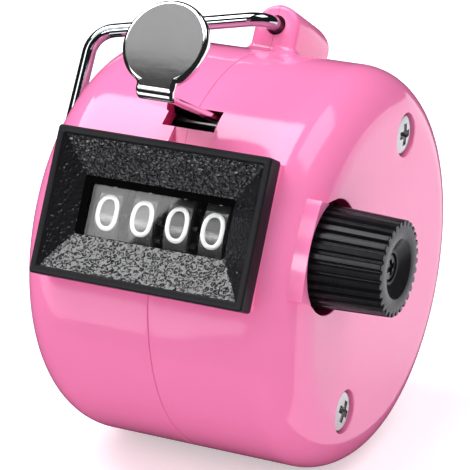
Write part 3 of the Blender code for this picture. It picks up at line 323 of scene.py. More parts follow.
LUG_SET_BACK = np.radians(3.5)
LUG_HOLE_RADIUS = 0.00112
LUG_HOLE_HEIGHT = 0.0024
LUG_HOLE_REACH = 0.02
PINK = (0.980, 0.250, 0.490)
PINK_DEEPER = (0.960, 0.230, 0.470)
PINK_ROUGHNESS = 0.11
# Darker, deeper pink for the walls in the slot and the knob's hole: painted shade
PINK_RECESS_SHADE = (0.62, 0.02, 0.13)
PINK_RECESS_SHADE_DEEPER = (0.55, 0.015, 0.11)
RELIEF_DEPTH = 0.0001


def tilted(points, angle=0.0):
    """Turns case points by the lean about X, plus an angle, and moves them to the drum's middle.

    y becomes y cos + z sin, and z becomes z cos - y sin.
    """
    points = np.asarray(points, float)
    turn = LEAN_BACK + angle
    out = np.empty_like(points)
    out[..., 0] = points[..., 0] + DRUM_HALF_WIDTH
    out[..., 1] = points[..., 1] * np.cos(turn) + points[..., 2] * np.sin(turn)
    out[..., 2] = points[..., 2] * np.cos(turn) - points[..., 1] * np.sin(turn)
    return out


def untilted(points):
    """Turns points of the standing counter back to the case's own frame, the reverse of tilted."""
    out = np.empty_like(points)
    out[..., 0] = points[..., 0] - DRUM_HALF_WIDTH
    out[..., 1] = points[..., 1] * np.cos(LEAN_BACK) - points[..., 2] * np.sin(LEAN_BACK)
    out[..., 2] = points[..., 2] * np.cos(LEAN_BACK) + points[..., 1] * np.sin(LEAN_BACK)
    return out


def arc(centre_a, centre_b, radius, start, end, steps):
    """Points of a circle: the centre plus the radius times cosine and sine, between two angles."""
    angle = np.radians(np.linspace(start, end, steps + 1))
    return np.stack([centre_a + radius * np.cos(angle), centre_b + radius * np.sin(angle)], -1)


def surface(name, grid, wrap_rows=False, sharp=32.0, material=None):
    """Joins a grid of points into faces: row i, column j with row i + 1 and column j + 1.

    Columns always close on themselves. Points that fall together, as at a pole, are merged, and
    every face is turned outwards.
    """
    rows, columns = grid.shape[:2]
    i = np.arange(rows if wrap_rows else rows - 1)[:, None]
    j = np.arange(columns)[None, :]
    next_i = (i + 1) % rows
    next_j = (j + 1) % columns
    corners = (i * columns + j, i * columns + next_j, next_i * columns + next_j, next_i * columns + j)
    faces = np.stack(corners, -1).reshape(-1, 4)
    mesh = bpy.data.meshes.new(name)
    mesh.from_pydata(grid.reshape(-1, 3).tolist(), [], faces.tolist())
    work = bmesh.new()
    work.from_mesh(mesh)
    bmesh.ops.remove_doubles(work, verts=work.verts, dist=2e-7)
    bmesh.ops.dissolve_degenerate(work, edges=work.edges, dist=1e-8)
    bmesh.ops.recalc_face_normals(work, faces=work.faces)
    work.to_mesh(mesh)
    work.free()
    mesh.shade_smooth()
    mesh.set_sharp_from_angle(angle=np.radians(sharp))
    made = bpy.data.objects.new(name, mesh)
    scene.collection.objects.link(made)
    if material is not None:
        mesh.materials.append(material)
    return made


def lathe(profile, steps=ROUND_STEPS, y=0.0, z=0.0):
    """Turns (x, radius) points about an axis along X: y and z are radius times cosine and sine."""
    profile = np.asarray(profile, float)
    angle = 2 * np.pi * (np.arange(steps) + 0.5) / steps
    grid = np.empty((len(profile), steps, 3))
    grid[..., 0] = profile[:, 0, None]
    grid[..., 1] = y + profile[:, 1, None] * np.cos(angle)
    grid[..., 2] = z + profile[:, 1, None] * np.sin(angle)
    return grid


def capped(loops):
    """Closes a stack of loops by a point at the middle of its first and of its last loop."""
    first = np.broadcast_to(loops[0].mean(0), loops[0].shape)
    last = np.broadcast_to(loops[-1].mean(0), loops[-1].shape)
    return np.concatenate([first[None], loops, last[None]])


def cut(target, tool, operation="DIFFERENCE"):
    """Takes a tool's solid out of a piece, or adds it, and deletes the tool."""
    step = target.modifiers.new("cut", "BOOLEAN")
    step.operation = operation
    step.solver = "EXACT"
    step.object = tool
    bpy.context.view_layer.update()
    result = bpy.data.meshes.new_from_object(target.evaluated_get(bpy.context.evaluated_depsgraph_get()))
    target.modifiers.clear()
    spent = target.data
    target.data = result
    result.name = target.name
    bpy.data.meshes.remove(spent)
    bpy.data.objects.remove(tool)


def merge_into(mesh, pieces):
    """Writes the faces of several pieces into a mesh, after its own, and deletes the pieces."""
    joined = bmesh.new()
    joined.from_mesh(mesh)
    for piece in pieces:
        joined.from_mesh(piece.data)
        bpy.data.objects.remove(piece)
    joined.to_mesh(mesh)
    joined.free()


def finish(
    name, colour, deeper, roughness, speckle=400.0, bump=0.0, bump_scale=2500.0, metallic=0.0, gloss=0.5
):
    """A moulded or polished finish: two near shades mixed by soft noise, with fine relief."""
    made = bpy.data.materials.new(name)
    made.use_nodes = True
    tree = made.node_tree
    where = added(tree, "TexCoord", {})["Object"]
    cloud = added(tree, "TexNoise", {"Scale": speckle, "Detail": 3.0, "Vector": where})["Fac"]
    shades = {0: cloud, 6: (*colour, 1.0), 7: (*deeper, 1.0)}
    wear = {"Value": cloud, "To Min": roughness * 0.88, "To Max": roughness * 1.12}
    look = {
        "Metallic": metallic,
        "Specular IOR Level": gloss,
        "Base Color": added(tree, "Mix", shades, data_type="RGBA")[2],
        "Roughness": added(tree, "MapRange", wear)["Result"],
    }
    if bump:
        grain = added(tree, "TexNoise", {"Scale": bump_scale, "Detail": 2.0, "Vector": where})["Fac"]
        relief = {"Strength": bump, "Distance": RELIEF_DEPTH, "Height": grain}
        look["Normal"] = added(tree, "Bump", relief)["Normal"]
    feed(tree, tree.nodes["Principled BSDF"], look)
    return made


pink_moulding = finish(
    "pink_moulding", PINK, PINK_DEEPER, PINK_ROUGHNESS, speckle=140.0, bump=0.05, bump_scale=900.0
)
# Unpolished finish for the recess walls, whose darker pink is painted shade
pink_painted_shade = finish("pink_painted_shade", PINK_RECESS_SHADE, PINK_RECESS_SHADE_DEEPER, 0.4, speckle=600.0, gloss=0.3)


def shell_profile(side):
    """Half of the drum's wall: end face, rim, outside, rounded joint edge, then the inside back."""
    flat_end = DRUM_HALF_WIDTH - RIM_ROUNDING
    rim_height = DRUM_RADIUS - RIM_ROUNDING
    inner_radius = DRUM_RADIUS - CASE_WALL
    end_face = [(DRUM_HALF_WIDTH, share * rim_height) for share in (0.0, 0.2, 0.45, 0.7, 0.9, 0.985)]
    rim = arc(flat_end, rim_height, RIM_ROUNDING, 0, 90, 18)
    wall = [(flat_end * share, DRUM_RADIUS) for share in (0.985, 0.8, 0.5, 0.25, 0.08)]
    edge_middle = JOINT_GAP / 2 + JOINT_ROUNDING
    edge = arc(edge_middle, DRUM_RADIUS - JOINT_ROUNDING, JOINT_ROUNDING, 90, 180, 4)
    inside = [(JOINT_GAP / 2, inner_radius), (flat_end, inner_radius)]
    inner_rim = arc(flat_end, rim_height, RIM_ROUNDING - CASE_WALL, 80, 0, 6)
    back = [(DRUM_HALF_WIDTH - CASE_WALL, 0.0)]
    points = np.concatenate([end_face, rim, wall, edge, inside, inner_rim, back])
    return points * (side, 1.0)


def lug_stack():
    """Loops in plan, one above another: width and length shrink with height as arch and roundings.

    The lowest loop follows the drum's surface and flares out by a quarter circle.
    """
    rise = LUG_RISE
    flare = LUG_FLARE - arc(0, 0, LUG_FLARE, 0, 90, 5)
    heights = [-LUG_FOOT] + list(flare[:, 0])
    spread = [LUG_FLARE] + list(flare[:, 1])
    arch = arc(0.0, rise - LUG_HALF_WIDTH, LUG_HALF_WIDTH, 0, 90, 14)
    height = np.concatenate([heights, arch[:, 1]])
    half = np.concatenate([LUG_HALF_WIDTH + np.array(spread), arch[:, 0]])
    above_front = np.clip(height - (rise - LUG_FRONT_ROUNDING), 0, LUG_FRONT_ROUNDING)
    above_back = np.clip(height - (rise - LUG_BACK_ROUNDING), 0, LUG_BACK_ROUNDING)
    flared = np.concatenate([spread, np.zeros(len(arch))])
    front = LUG_FRONT - flared + LUG_FRONT_ROUNDING - np.sqrt(LUG_FRONT_ROUNDING**2 - above_front**2)
    back = LUG_BACK + flared - LUG_BACK_ROUNDING + np.sqrt(LUG_BACK_ROUNDING**2 - above_back**2)
    corner = np.minimum(LUG_CORNER, half)
    quarter = np.radians(np.linspace(0, 90, 7))
    sides = []
    for sign_x, sign_y, start in ((1, 1, 0), (-1, 1, 90), (-1, -1, 180), (1, -1, 270)):
        angle = quarter + np.radians(start)
        end = back if sign_y > 0 else front
        x = sign_x * (half - corner)[:, None] + corner[:, None] * np.cos(angle)
        y = (end - sign_y * corner)[:, None] + corner[:, None] * np.sin(angle)
        sides.append(np.stack([x, y], -1))
    plan = np.concatenate(sides, 1)
    settle = 1 - np.clip(height / (rise * 0.6), 0, 1)
    drop = DRUM_RADIUS - np.sqrt(DRUM_RADIUS**2 - plan[..., 1] ** 2)
    z = DRUM_RADIUS + height[:, None] - drop * settle[:, None]
    return capped(np.concatenate([plan, z[..., None]], -1))


def drilled(x_from, x_face, radius, lip, y, z, steps=96):
    """A drill along X whose radius grows by a quarter circle where it leaves the end face."""
    side = np.sign(x_face - x_from)
    mouth = arc(radius + lip, 0, lip, 180, 90, 5)
    flare = np.stack([x_face - side * (lip - mouth[:, 1]), mouth[:, 0]], -1)
    outside = x_face + side * DRILL_PAST
    start = [(x_from, 0.0), (x_from, radius)]
    end = [(outside, radius + lip), (outside, 0.0)]
    return lathe(np.concatenate([start, flare, end]), steps, y, z)


def box(low, high):
    """The eight corners of a block as a stack of two square loops with closed ends."""
    (x0, y0, z0), (x1, y1, z1) = low, high
    loop = [(y0, z0), (y1, z0), (y1, z1), (y0, z1)]
    return capped(np.array([[(x, y, z) for y, z in loop] for x in (x0, x1)], float))


def solid(name, grid, angle=0.0):
    """A tool placed in the case's own frame."""
    return surface(name, tilted(grid, angle))


for node_name, side in (("left_shell", -1), ("right_shell", 1)):
    shell = surface(node_name + "_moulding", tilted(lathe(shell_profile(side))), sharp=30.0)
    cut(shell, solid("lug", lug_stack(), LUG_SET_BACK), "UNION")
    cut(shell, solid("bezel_seat", box(*BEZEL_SEAT)), "UNION")
    if side > 0:
        pad_end = DRUM_HALF_WIDTH - PAD_SHY
        pad_low = (KNOB_PAD_FOOT, -DRUM_RADIUS, KNOB_PAD_HEIGHTS[0])
        pad = solid("pad", box(pad_low, (pad_end, KNOB_PAD_REAR, KNOB_PAD_HEIGHTS[1])))
        pad_past = 2 * pad_end
        pad_profile = [(0.0, 0.0), (0.0, KNOB_PAD_RADIUS), (pad_past, KNOB_PAD_RADIUS), (pad_past, 0.0)]
        cut(pad, solid("pad_round", lathe(pad_profile)), "INTERSECT")
        cut(shell, pad, "UNION")
    # The parting takes away the other cup's half of lug and seat. Window, slot and holes follow
    far = -side * CUT_REACH
    joint = side * JOINT_GAP / 2
    parting_low = (min(far, joint), -CUT_REACH, -CUT_REACH)
    cut(shell, solid("parting", box(parting_low, (max(far, joint), CUT_REACH, CUT_REACH))))
    window_low = (-OPENING_HALF_WIDTH, -CUT_REACH, -OPENING_HALF_HEIGHT)
    window = box(window_low, (OPENING_HALF_WIDTH, SHAFT_Y, OPENING_HALF_HEIGHT))
    cut(shell, solid("window", window))
    slot_low = (-SLOT_HALF_WIDTH, -CUT_REACH, SLOT_BOTTOM)
    cut(shell, solid("slot", box(slot_low, (SLOT_HALF_WIDTH, SLOT_END, SLOT_TOP))))
    cut(shell, solid("land", box(*LAND)))
    out, wide = LUG_HOLE_REACH, LUG_HOLE_RADIUS
    wire_hole = lathe([(-out, 0.0), (-out, wide), (out, wide), (out, 0.0)], 48)
    hole_height = wire_hole[..., 2] + DRUM_RADIUS + LUG_HOLE_HEIGHT
    along_y = np.stack([wire_hole[..., 1], wire_hole[..., 0], hole_height], -1)
    cut(shell, solid("wire_hole", along_y, LUG_SET_BACK))
    if side > 0:
        hole_ends = (KNOB_HOLE_START, DRUM_HALF_WIDTH)
        knob_hole = drilled(*hole_ends, KNOB_HOLE_RADIUS, KNOB_HOLE_LIP, SHAFT_Y, 0.0)
        cut(shell, solid("knob_hole", knob_hole))
        for y, z in CASE_SCREWS:
            seat = drilled(DRUM_HALF_WIDTH - SEAT_DEPTH, DRUM_HALF_WIDTH, SEAT_RADIUS, SEAT_LIP, y, z, 48)
            cut(shell, solid("seat", seat))
    shell.data.shade_smooth()
    shell.data.set_sharp_from_angle(angle=np.radians(30))
    shell.data.materials.append(pink_moulding)
    shell.data.materials.append(pink_painted_shade)
    # Inside the slot and the knob's hole the walls are unpolished, and their darker, deeper pink is painted
    # shade for these recesses
    count = len(shell.data.polygons)
    middles = np.empty(count * 3)
    shell.data.polygons.foreach_get("center", middles)
    x, y, z = untilted(middles.reshape(-1, 3)).T
    in_slot = (np.abs(x) < SLOT_HALF_WIDTH + PAD_SHY) & (np.hypot(y, z) < DRUM_RADIUS - CUT_SHADE)
    in_slot &= (z > SLOT_BOTTOM - PAD_SHY) & (z < SLOT_TOP + PAD_SHY)
    from_shaft = np.hypot(y - SHAFT_Y, z)
    in_hole = (from_shaft < KNOB_HOLE_RADIUS + PAD_SHY) & (x > 0) & (x < DRUM_HALF_WIDTH - KNOB_HOLE_LIP)
    shell.data.polygons.foreach_set("material_index", (in_slot & (y < 0) | in_hole).astype(np.int32))
    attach(shell, "case")
    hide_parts(node_name)

# Sleeve: a thin ring moulded with the right shell that lines the knob's hole from inside, in a darker
# pink that is painted shade for the hole, and hides the side plate behind the knob.
SLEEVE_START = 0.0109
SLEEVE_END = 0.0143
SLEEVE_WALL = 0.0006
sleeve_outside = KNOB_HOLE_RADIUS + SLEEVE_WALL
sleeve_profile = [
    (SLEEVE_START, KNOB_HOLE_RADIUS),
    (SLEEVE_END, KNOB_HOLE_RADIUS),
    (SLEEVE_END, sleeve_outside),
    (SLEEVE_START, sleeve_outside),
]
sleeve_ring = tilted(lathe(sleeve_profile, 96, SHAFT_Y))
sleeve = surface("knob_hole_sleeve", sleeve_ring, wrap_rows=True, material=pink_painted_shade)
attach(sleeve, "case")

# Bezel: a black moulded frame set on the drum's front. Its lip and outside are smooth, the four
# slopes round the window are spark grained, and a collar behind plugs the drum's opening.
BEZEL_FRONT = 0.0243
BEZEL_HALF_WIDTH = 0.01225
BEZEL_BOTTOM = -0.0076
BEZEL_TOP = 0.00806
BEZEL_EDGE = 0.00018
BEZEL_CORNER = 0.00035
BEZEL_LIP = 0.00078
BEZEL_STEP = 0.0003
BEZEL_BACK = -0.02208
WINDOW_HALF_WIDTH = 0.00828
WINDOW_HALF_HEIGHT = 0.0027
WINDOW_FACE = -0.0225
WINDOW_RIGHT = 0.00012
LEDGE_ABOVE = 0.0007
LEDGE_LEFT = 0.0004
WINDOW_CORNER = 0.0003
WINDOW_EDGE = 0.00003
LENS_POCKET_FACE = -0.0223
POCKET_HALF = (0.0089, 0.0041)
COLLAR_HALF = (0.0097, 0.0049)
COLLAR_BACK = -0.0200
BLACK = (0.010, 0.010, 0.011)
BLACK_GREYED = (0.015, 0.015, 0.017)
GRAIN_SIZE = 2650.0
GRAIN_DEPTH = 0.0002
GRAIN_STIR = 0.0004
LIP_EDGE = 0.0001
LIP_SOFT = 0.00003
LIP_CORNER = 0.0002
LIP_CORNER_OUTER = 0.00022
SHARP_CORNER = 0.00025
# Near-zero black for the ledge round the window: a matt finish, with its extra darkness painted shade of a
# gap round the lens
MATT_SHADOW_BLACK = (0.002, 0.002, 0.002)
MATT_SHADOW_BLACK_GREYED = (0.004, 0.004, 0.004)


def frame_loop(half_width, bottom, top, corner, y, wider_left=0.0):
    """A rectangle at the depth y whose corners are quarter circles: their middle plus cosine and sine."""
    quarter = np.radians(np.linspace(0, 90, 6))
    sides = []
    for sign_x, sign_z, start in ((1, 1, 0), (-1, 1, 90), (-1, -1, 180), (1, -1, 270)):
        angle = quarter + np.radians(start)
        edge = half_width + (wider_left if sign_x < 0 else 0.0)
        x = sign_x * (edge - corner) + corner * np.cos(angle)
        z = (top if sign_z > 0 else bottom) - sign_z * corner + corner * np.sin(angle)
        sides.append(np.stack([x, np.full_like(x, y), z], -1))
    return np.concatenate(sides)


def inset(by, y, corner):
    """The frame's outline drawn in by a given width."""
    return frame_loop(BEZEL_HALF_WIDTH - by, BEZEL_BOTTOM + by, BEZEL_TOP - by, corner, y)


def grained(name, grain_size, strength):
    """The black moulding with spark grain: small rounded pits of uneven size, stirred by noise."""
    made = finish(name, BLACK, BLACK_GREYED, 0.2, speckle=600.0, gloss=0.6)
    tree = made.node_tree
    where = added(tree, "TexCoord", {})["Object"]
    stir = added(tree, "TexNoise", {"Scale": grain_size * 0.6, "Detail": 1.0, "Vector": where})["Color"]
    shift = {0: stir, 1: (GRAIN_STIR, GRAIN_STIR, GRAIN_STIR), 2: where}
    stirred = added(tree, "VectorMath", shift, operation="MULTIPLY_ADD")[0]
    pitting = {"Scale": grain_size, "Smoothness": 1.0, "Vector": stirred}
    pits = added(tree, "TexVoronoi", pitting, feature="SMOOTH_F1")["Distance"]
    relief = added(tree, "Bump", {"Strength": strength, "Distance": GRAIN_DEPTH, "Height": pits})
    feed(tree, tree.nodes["Principled BSDF"], {"Normal": relief["Normal"]})
    return made


black_moulding = finish(
    "black_moulding", BLACK, BLACK_GREYED, 0.30, speckle=300.0, bump=0.06, bump_scale=1800.0, gloss=0.08
)
# Matt black without gloss, darker than the moulding as painted shade
matt_shadow_moulding = finish("matt_shadow_moulding", MATT_SHADOW_BLACK, MATT_SHADOW_BLACK_GREYED, 0.8, speckle=900.0, gloss=0.0)
grained_moulding = grained("grained_moulding", GRAIN_SIZE, 1.0)

front = -BEZEL_FRONT
high, low = WINDOW_HALF_HEIGHT, -WINDOW_HALF_HEIGHT
window_half = WINDOW_HALF_WIDTH + WINDOW_RIGHT
outer_edge = arc(BEZEL_EDGE, BEZEL_EDGE, BEZEL_EDGE, 180, 270, 5)
bezel_loops = [
    frame_loop(window_half, low, high, WINDOW_CORNER, LENS_POCKET_FACE, -2 * WINDOW_RIGHT),
    frame_loop(POCKET_HALF[0], -POCKET_HALF[1], POCKET_HALF[1], WINDOW_CORNER, LENS_POCKET_FACE),
    frame_loop(POCKET_HALF[0], -POCKET_HALF[1], POCKET_HALF[1], WINDOW_CORNER, COLLAR_BACK),
    frame_loop(COLLAR_HALF[0], -COLLAR_HALF[1], COLLAR_HALF[1], WINDOW_CORNER, COLLAR_BACK),
    frame_loop(COLLAR_HALF[0], -COLLAR_HALF[1], COLLAR_HALF[1], WINDOW_CORNER, BEZEL_BACK),
    inset(0.0, BEZEL_BACK, BEZEL_CORNER),
]
bezel_loops += [inset(a, front + b, max(BEZEL_CORNER - a, SHARP_CORNER)) for a, b in outer_edge]
bezel_loops += [
    inset(BEZEL_LIP - LIP_EDGE, front, LIP_CORNER_OUTER),
    inset(BEZEL_LIP - LIP_SOFT, front + LIP_SOFT, LIP_CORNER),
    inset(BEZEL_LIP, front + LIP_EDGE, LIP_CORNER),
    inset(BEZEL_LIP + BEZEL_STEP / 3, front + BEZEL_STEP, LIP_CORNER),
]
grain_from = len(bezel_loops) - 1
brow = high + LEDGE_ABOVE
edge, sunk = 2 * WINDOW_EDGE, WINDOW_EDGE
bezel_loops += [
    frame_loop(window_half + edge, low - edge, brow + edge, WINDOW_CORNER, WINDOW_FACE - sunk, LEDGE_LEFT),
    frame_loop(window_half, low, brow, WINDOW_CORNER, WINDOW_FACE + sunk, LEDGE_LEFT),
]
bezel_grid = tilted(np.stack(bezel_loops))
bezel = surface("bezel_frame", bezel_grid, wrap_rows=True, sharp=40.0, material=black_moulding)
bezel.data.materials.append(grained_moulding)
bezel.data.materials.append(matt_shadow_moulding)
per_row = len(bezel_loops[0])
slopes = np.zeros(len(bezel.data.polygons), dtype=np.int32)
slopes[grain_from * per_row : (grain_from + 1) * per_row] = 1
# The ledge round the window, the window's wall and the pocket face get the matt black: painted shade
slopes[(grain_from + 1) * per_row :] = 2
slopes[:per_row] = 2
bezel.data.polygons.foreach_set("material_index", slopes)
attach(bezel, "case")
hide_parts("bezel")

# Lens: a flat plate cut from clear acrylic. It lies in the bezel's pocket, held by the collar round
# it, and closes the window in front of the wheels.
ACRYLIC = (0.98, 0.985, 0.98, 1.0)
ACRYLIC_INDEX = 1.49
HAZE_SIZE = 250.0
HAZE_ROUGHNESS = (0.012, 0.02)

acrylic = bpy.data.materials.new("acrylic")
acrylic.use_nodes = True
tree = acrylic.node_tree
clear = tree.nodes["Principled BSDF"]
where = added(tree, "TexCoord", {})["Object"]
haze = added(tree, "TexNoise", {"Scale": HAZE_SIZE, "Vector": where})["Fac"]
clean, smeared = HAZE_ROUGHNESS
smear = added(tree, "MapRange", {"Value": haze, "To Min": clean, "To Max": smeared})["Result"]
acrylic_look = {
    "Transmission Weight": 1.0,
    "IOR": ACRYLIC_INDEX,
    "Base Color": ACRYLIC,
    "Roughness": smear,
}
feed(tree, clear, acrylic_look)
in_shadow = added(tree, "LightPath", {})["Is Shadow Ray"]
through = added(tree, "BsdfTransparent", {})[0]
either = added(tree, "MixShader", {0: in_shadow, 1: clear.outputs[0], 2: through})[0]
feed(tree, tree.nodes["Material Output"], {"Surface": either})


def dress(node_name, material):
    """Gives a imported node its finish."""
    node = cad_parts[node_name]
    for place in node.material_slots:
        place.material = material


dress("lens", acrylic)

# Number wheels: dark moulded wheels with smooth grey rims. The figures 0 to 9 are printed round each
# rim in white, a tenth of a turn apart, so that one stroke brings up the next figure.
WHEEL_RADIUS = 0.0069
WHEEL_PITCH = 0.00407
BAND_HALF_WIDTH = 0.00138
BAND_STAND = 0.0002
BAND_SUNK = 0.0004
BAND_EDGE = 0.00008
FIGURE_WIDTH = 0.00262
FIGURE_HEIGHT = 0.00385
STROKE_HALF = 0.00025
INK_STAND = 0.00004
INK_SUNK = 0.00001
FIGURE_COUNT = 10
WHEEL_NAMES = ("thousands", "hundreds", "tens", "units")
WHEEL_BLACK = (0.022, 0.022, 0.023)
WHEEL_BLACK_GREYED = (0.03, 0.03, 0.031)
RIM_GREY = (0.045, 0.045, 0.045)
RIM_GREY_DEEPER = (0.038, 0.038, 0.038)
INK_WHITE = (0.93, 0.93, 0.92)
INK_WHITE_SHADED = (0.88, 0.88, 0.87)

wheel_moulding = finish("wheel_moulding", WHEEL_BLACK, WHEEL_BLACK_GREYED, 0.5, speckle=900.0)
rim_face = finish(
    "rim_face", RIM_GREY, RIM_GREY_DEEPER, 0.2, speckle=1500.0, bump=0.04, bump_scale=6000.0, gloss=1.0
)
white_ink = finish("white_ink", INK_WHITE, INK_WHITE_SHADED, 0.45, speckle=2200.0)


def oval(centre_u, centre_v, half_u, half_v, start, end, squareness=1.0, steps=40):
    """A stroke along an oval: cosine and sine raised to a power below one square it up."""
    angle = np.radians(np.linspace(start, end, steps + 1))
    cosine, sine = np.cos(angle), np.sin(angle)
    u = centre_u + half_u * np.sign(cosine) * np.abs(cosine) ** squareness
    v = centre_v + half_v * np.sign(sine) * np.abs(sine) ** squareness
    return np.stack([u, v], -1)


def line(*corners):
    """A straight stroke through its corners, with ten points to each leg."""
    corners = np.array(corners, float)
    share = np.linspace(0, 1, 10, endpoint=False)[:, None]
    legs = [a + (b - a) * share for a, b in zip(corners[:-1], corners[1:])]
    return np.concatenate(legs + [corners[-1:]])


# Each figure is one or two strokes in a box that reaches from -1 to 1 both ways
FIGURES = (
    (oval(0, 0, 1, 1, 0, 360, 0.86, 64)[:-1],),
    (line((-0.5, 0.5), (0.1, 0.86), (0.1, -0.86)),),
    (np.concatenate([oval(0, 0.45, 0.95, 0.55, 160, -35), line((-0.95, -1.0), (0.98, -1.0))]),),
    (np.concatenate([oval(-0.05, 0.5, 0.85, 0.5, 150, -80), oval(-0.05, -0.48, 0.98, 0.52, 80, -150)]),),
    (line((0.45, -1.0), (0.45, 1.0), (-0.98, -0.42), (0.98, -0.42)),),
    (
        np.concatenate(
            [line((0.85, 1.0), (-0.7, 1.0), (-0.85, 0.12)), oval(-0.05, -0.38, 1.0, 0.62, 130, -150)]
        ),
    ),
    (np.concatenate([oval(0.1, 0.0, 1.1, 1.0, 60, 170), oval(0, -0.4, 0.97, 0.6, 180, -175)]),),
    (line((-0.95, 1.0), (0.95, 1.0), (-0.35, -1.0)),),
    (oval(0, 0.5, 0.82, 0.5, 0, 360)[:-1], oval(0, -0.47, 1.0, 0.53, 0, 360)[:-1]),
    (np.concatenate([oval(-0.1, 0.0, 1.1, 0.86, 240, 350), oval(0, 0.34, 0.97, 0.52, 0, 355)]),),
)
CLOSED_FIGURES = (0, 8)


def inked(stroke, closed):
    """A raised line of ink: a low arch carried along the stroke, square to its run, with tapered ends.

    Each point is the stroke's own point, plus the arch's share of the width across it.
    """
    half = np.array([FIGURE_WIDTH / 2 - STROKE_HALF, FIGURE_HEIGHT / 2 - STROKE_HALF])
    run = stroke * half
    ahead = np.roll(run, -1, 0) - np.roll(run, 1, 0)
    if not closed:
        ahead[0] = run[1] - run[0]
        ahead[-1] = run[-1] - run[-2]
    ahead /= np.linalg.norm(ahead, axis=1, keepdims=True)
    across = np.stack([-ahead[:, 1], ahead[:, 0]], -1)
    width = np.full(len(run), STROKE_HALF)
    if not closed:
        taper = np.array([0.0, 0.6, 0.9])
        start = run[0] + ahead[0] * STROKE_HALF * np.array([-1.0, -0.8, -0.45])[:, None]
        end = run[-1] + ahead[-1] * STROKE_HALF * np.array([0.45, 0.8, 1.0])[:, None]
        run = np.concatenate([start, run, end])
        across = np.concatenate([np.repeat(across[:1], 3, 0), across, np.repeat(across[-1:], 3, 0)])
        width = np.concatenate([taper, np.ones(len(width)), taper[::-1]]) * STROKE_HALF
    section = np.array([(-1, 0), (-0.92, 1), (0, 1.1), (0.92, 1), (1, 0)])
    flat = run[:, None, :] + across[:, None, :] * (width[:, None] * section[:, 0])[..., None]
    stand = np.broadcast_to(section[:, 1] * INK_STAND, flat.shape[:2])
    return np.concatenate([flat, stand[..., None]], -1)


for place, name in enumerate(WHEEL_NAMES):
    dress(name + "_wheel", wheel_moulding)
    middle = (place - (len(WHEEL_NAMES) - 1) / 2) * WHEEL_PITCH
    band_radius = WHEEL_RADIUS + BAND_STAND
    left, right = middle - BAND_HALF_WIDTH, middle + BAND_HALF_WIDTH
    band_profile = [
        (left, WHEEL_RADIUS - BAND_SUNK),
        (left, band_radius - BAND_EDGE),
        (left + BAND_EDGE, band_radius),
        (right - BAND_EDGE, band_radius),
        (right, band_radius - BAND_EDGE),
        (right, WHEEL_RADIUS - BAND_SUNK),
    ]
    band_ring = tilted(lathe(band_profile, 192, SHAFT_Y))
    band = surface(name + "_rim", band_ring, wrap_rows=True, material=rim_face)
    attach(band, name)
    grids = []
    for figure, strokes in enumerate(FIGURES):
        closed = figure in CLOSED_FIGURES
        for stroke in strokes:
            ink = inked(stroke, closed)
            turn = 2 * np.pi * figure / FIGURE_COUNT + ink[..., 1] / band_radius
            radius = band_radius - INK_SUNK + ink[..., 2]
            along_y, along_z = SHAFT_Y - radius * np.cos(turn), radius * np.sin(turn)
            placed = tilted(np.stack([middle + ink[..., 0], along_y, along_z], -1))
            stroke_name = f"{name}_{figure}"
            grids.append(surface(stroke_name, placed, wrap_rows=closed, sharp=80.0, material=white_ink))
    figures_mesh = bpy.data.meshes.new(name + "_figures")
    merge_into(figures_mesh, grids)
    figures_mesh.materials.append(white_ink)
    figures = bpy.data.objects.new(name + "_figures", figures_mesh)
    scene.collection.objects.link(figures)
    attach(figures, name)

# Thumb lever: one bright strip pressed from steel. A round thumb plate with a rolled edge stands on
# its neck, the arm runs in through the slot, and a yoke with two ears inside holds it on its pin.
LEVER_PIN_Y = -0.0134
LEVER_PIN_Z = 0.0099
ARM_LEFT = 0.0018
ARM_RIGHT = 0.0025
ARM_MIDDLE = 0.0118
ARM_HALF_THICKNESS = 0.0004
PLATE_RADIUS = 0.00465
PLATE_HALF_THICKNESS = 0.00065
PLATE_MIDDLE = (-0.0280, 0.0172)
PLATE_LEAN = np.radians(10.2)
BEND_RADIUS = 0.0006
NECK_FILLET = 0.0006
THICKER_FROM = -0.0058
THICKER_OVER = 0.0010
ROLLED_EDGE = 0.00042
YOKE = ((-0.0093, -0.0152, 0.0113), (0.0093, -0.0112, 0.0123))
EAR_FACES = (0.0086, 0.0094)
EAR_RADIUS = 0.0019
DRIVE_RADIUS = 0.0013
DRIVE_END = (-0.0090, -0.0056)
PRESSED_EDGE = 0.0001
STEEL_BRIGHT = (0.86, 0.86, 0.87)
STEEL_BRIGHT_DEEPER = (0.80, 0.80, 0.81)
# Rougher, darker steel for the parts inside: the roughness is an unpolished finish, the darker colour is
# painted shade
STEEL_DULL_SHADED = (0.30, 0.30, 0.31)
STEEL_DULL_SHADED_DEEPER = (0.24, 0.24, 0.25)

bright_steel = finish(
    "bright_steel",
    STEEL_BRIGHT,
    STEEL_BRIGHT_DEEPER,
    0.07,
    speckle=350.0,
    metallic=1.0,
    bump=0.01,
    bump_scale=1200.0,
)
dull_shaded_steel = finish("dull_shaded_steel", STEEL_DULL_SHADED, STEEL_DULL_SHADED_DEEPER, 0.5, speckle=500.0, metallic=1.0)


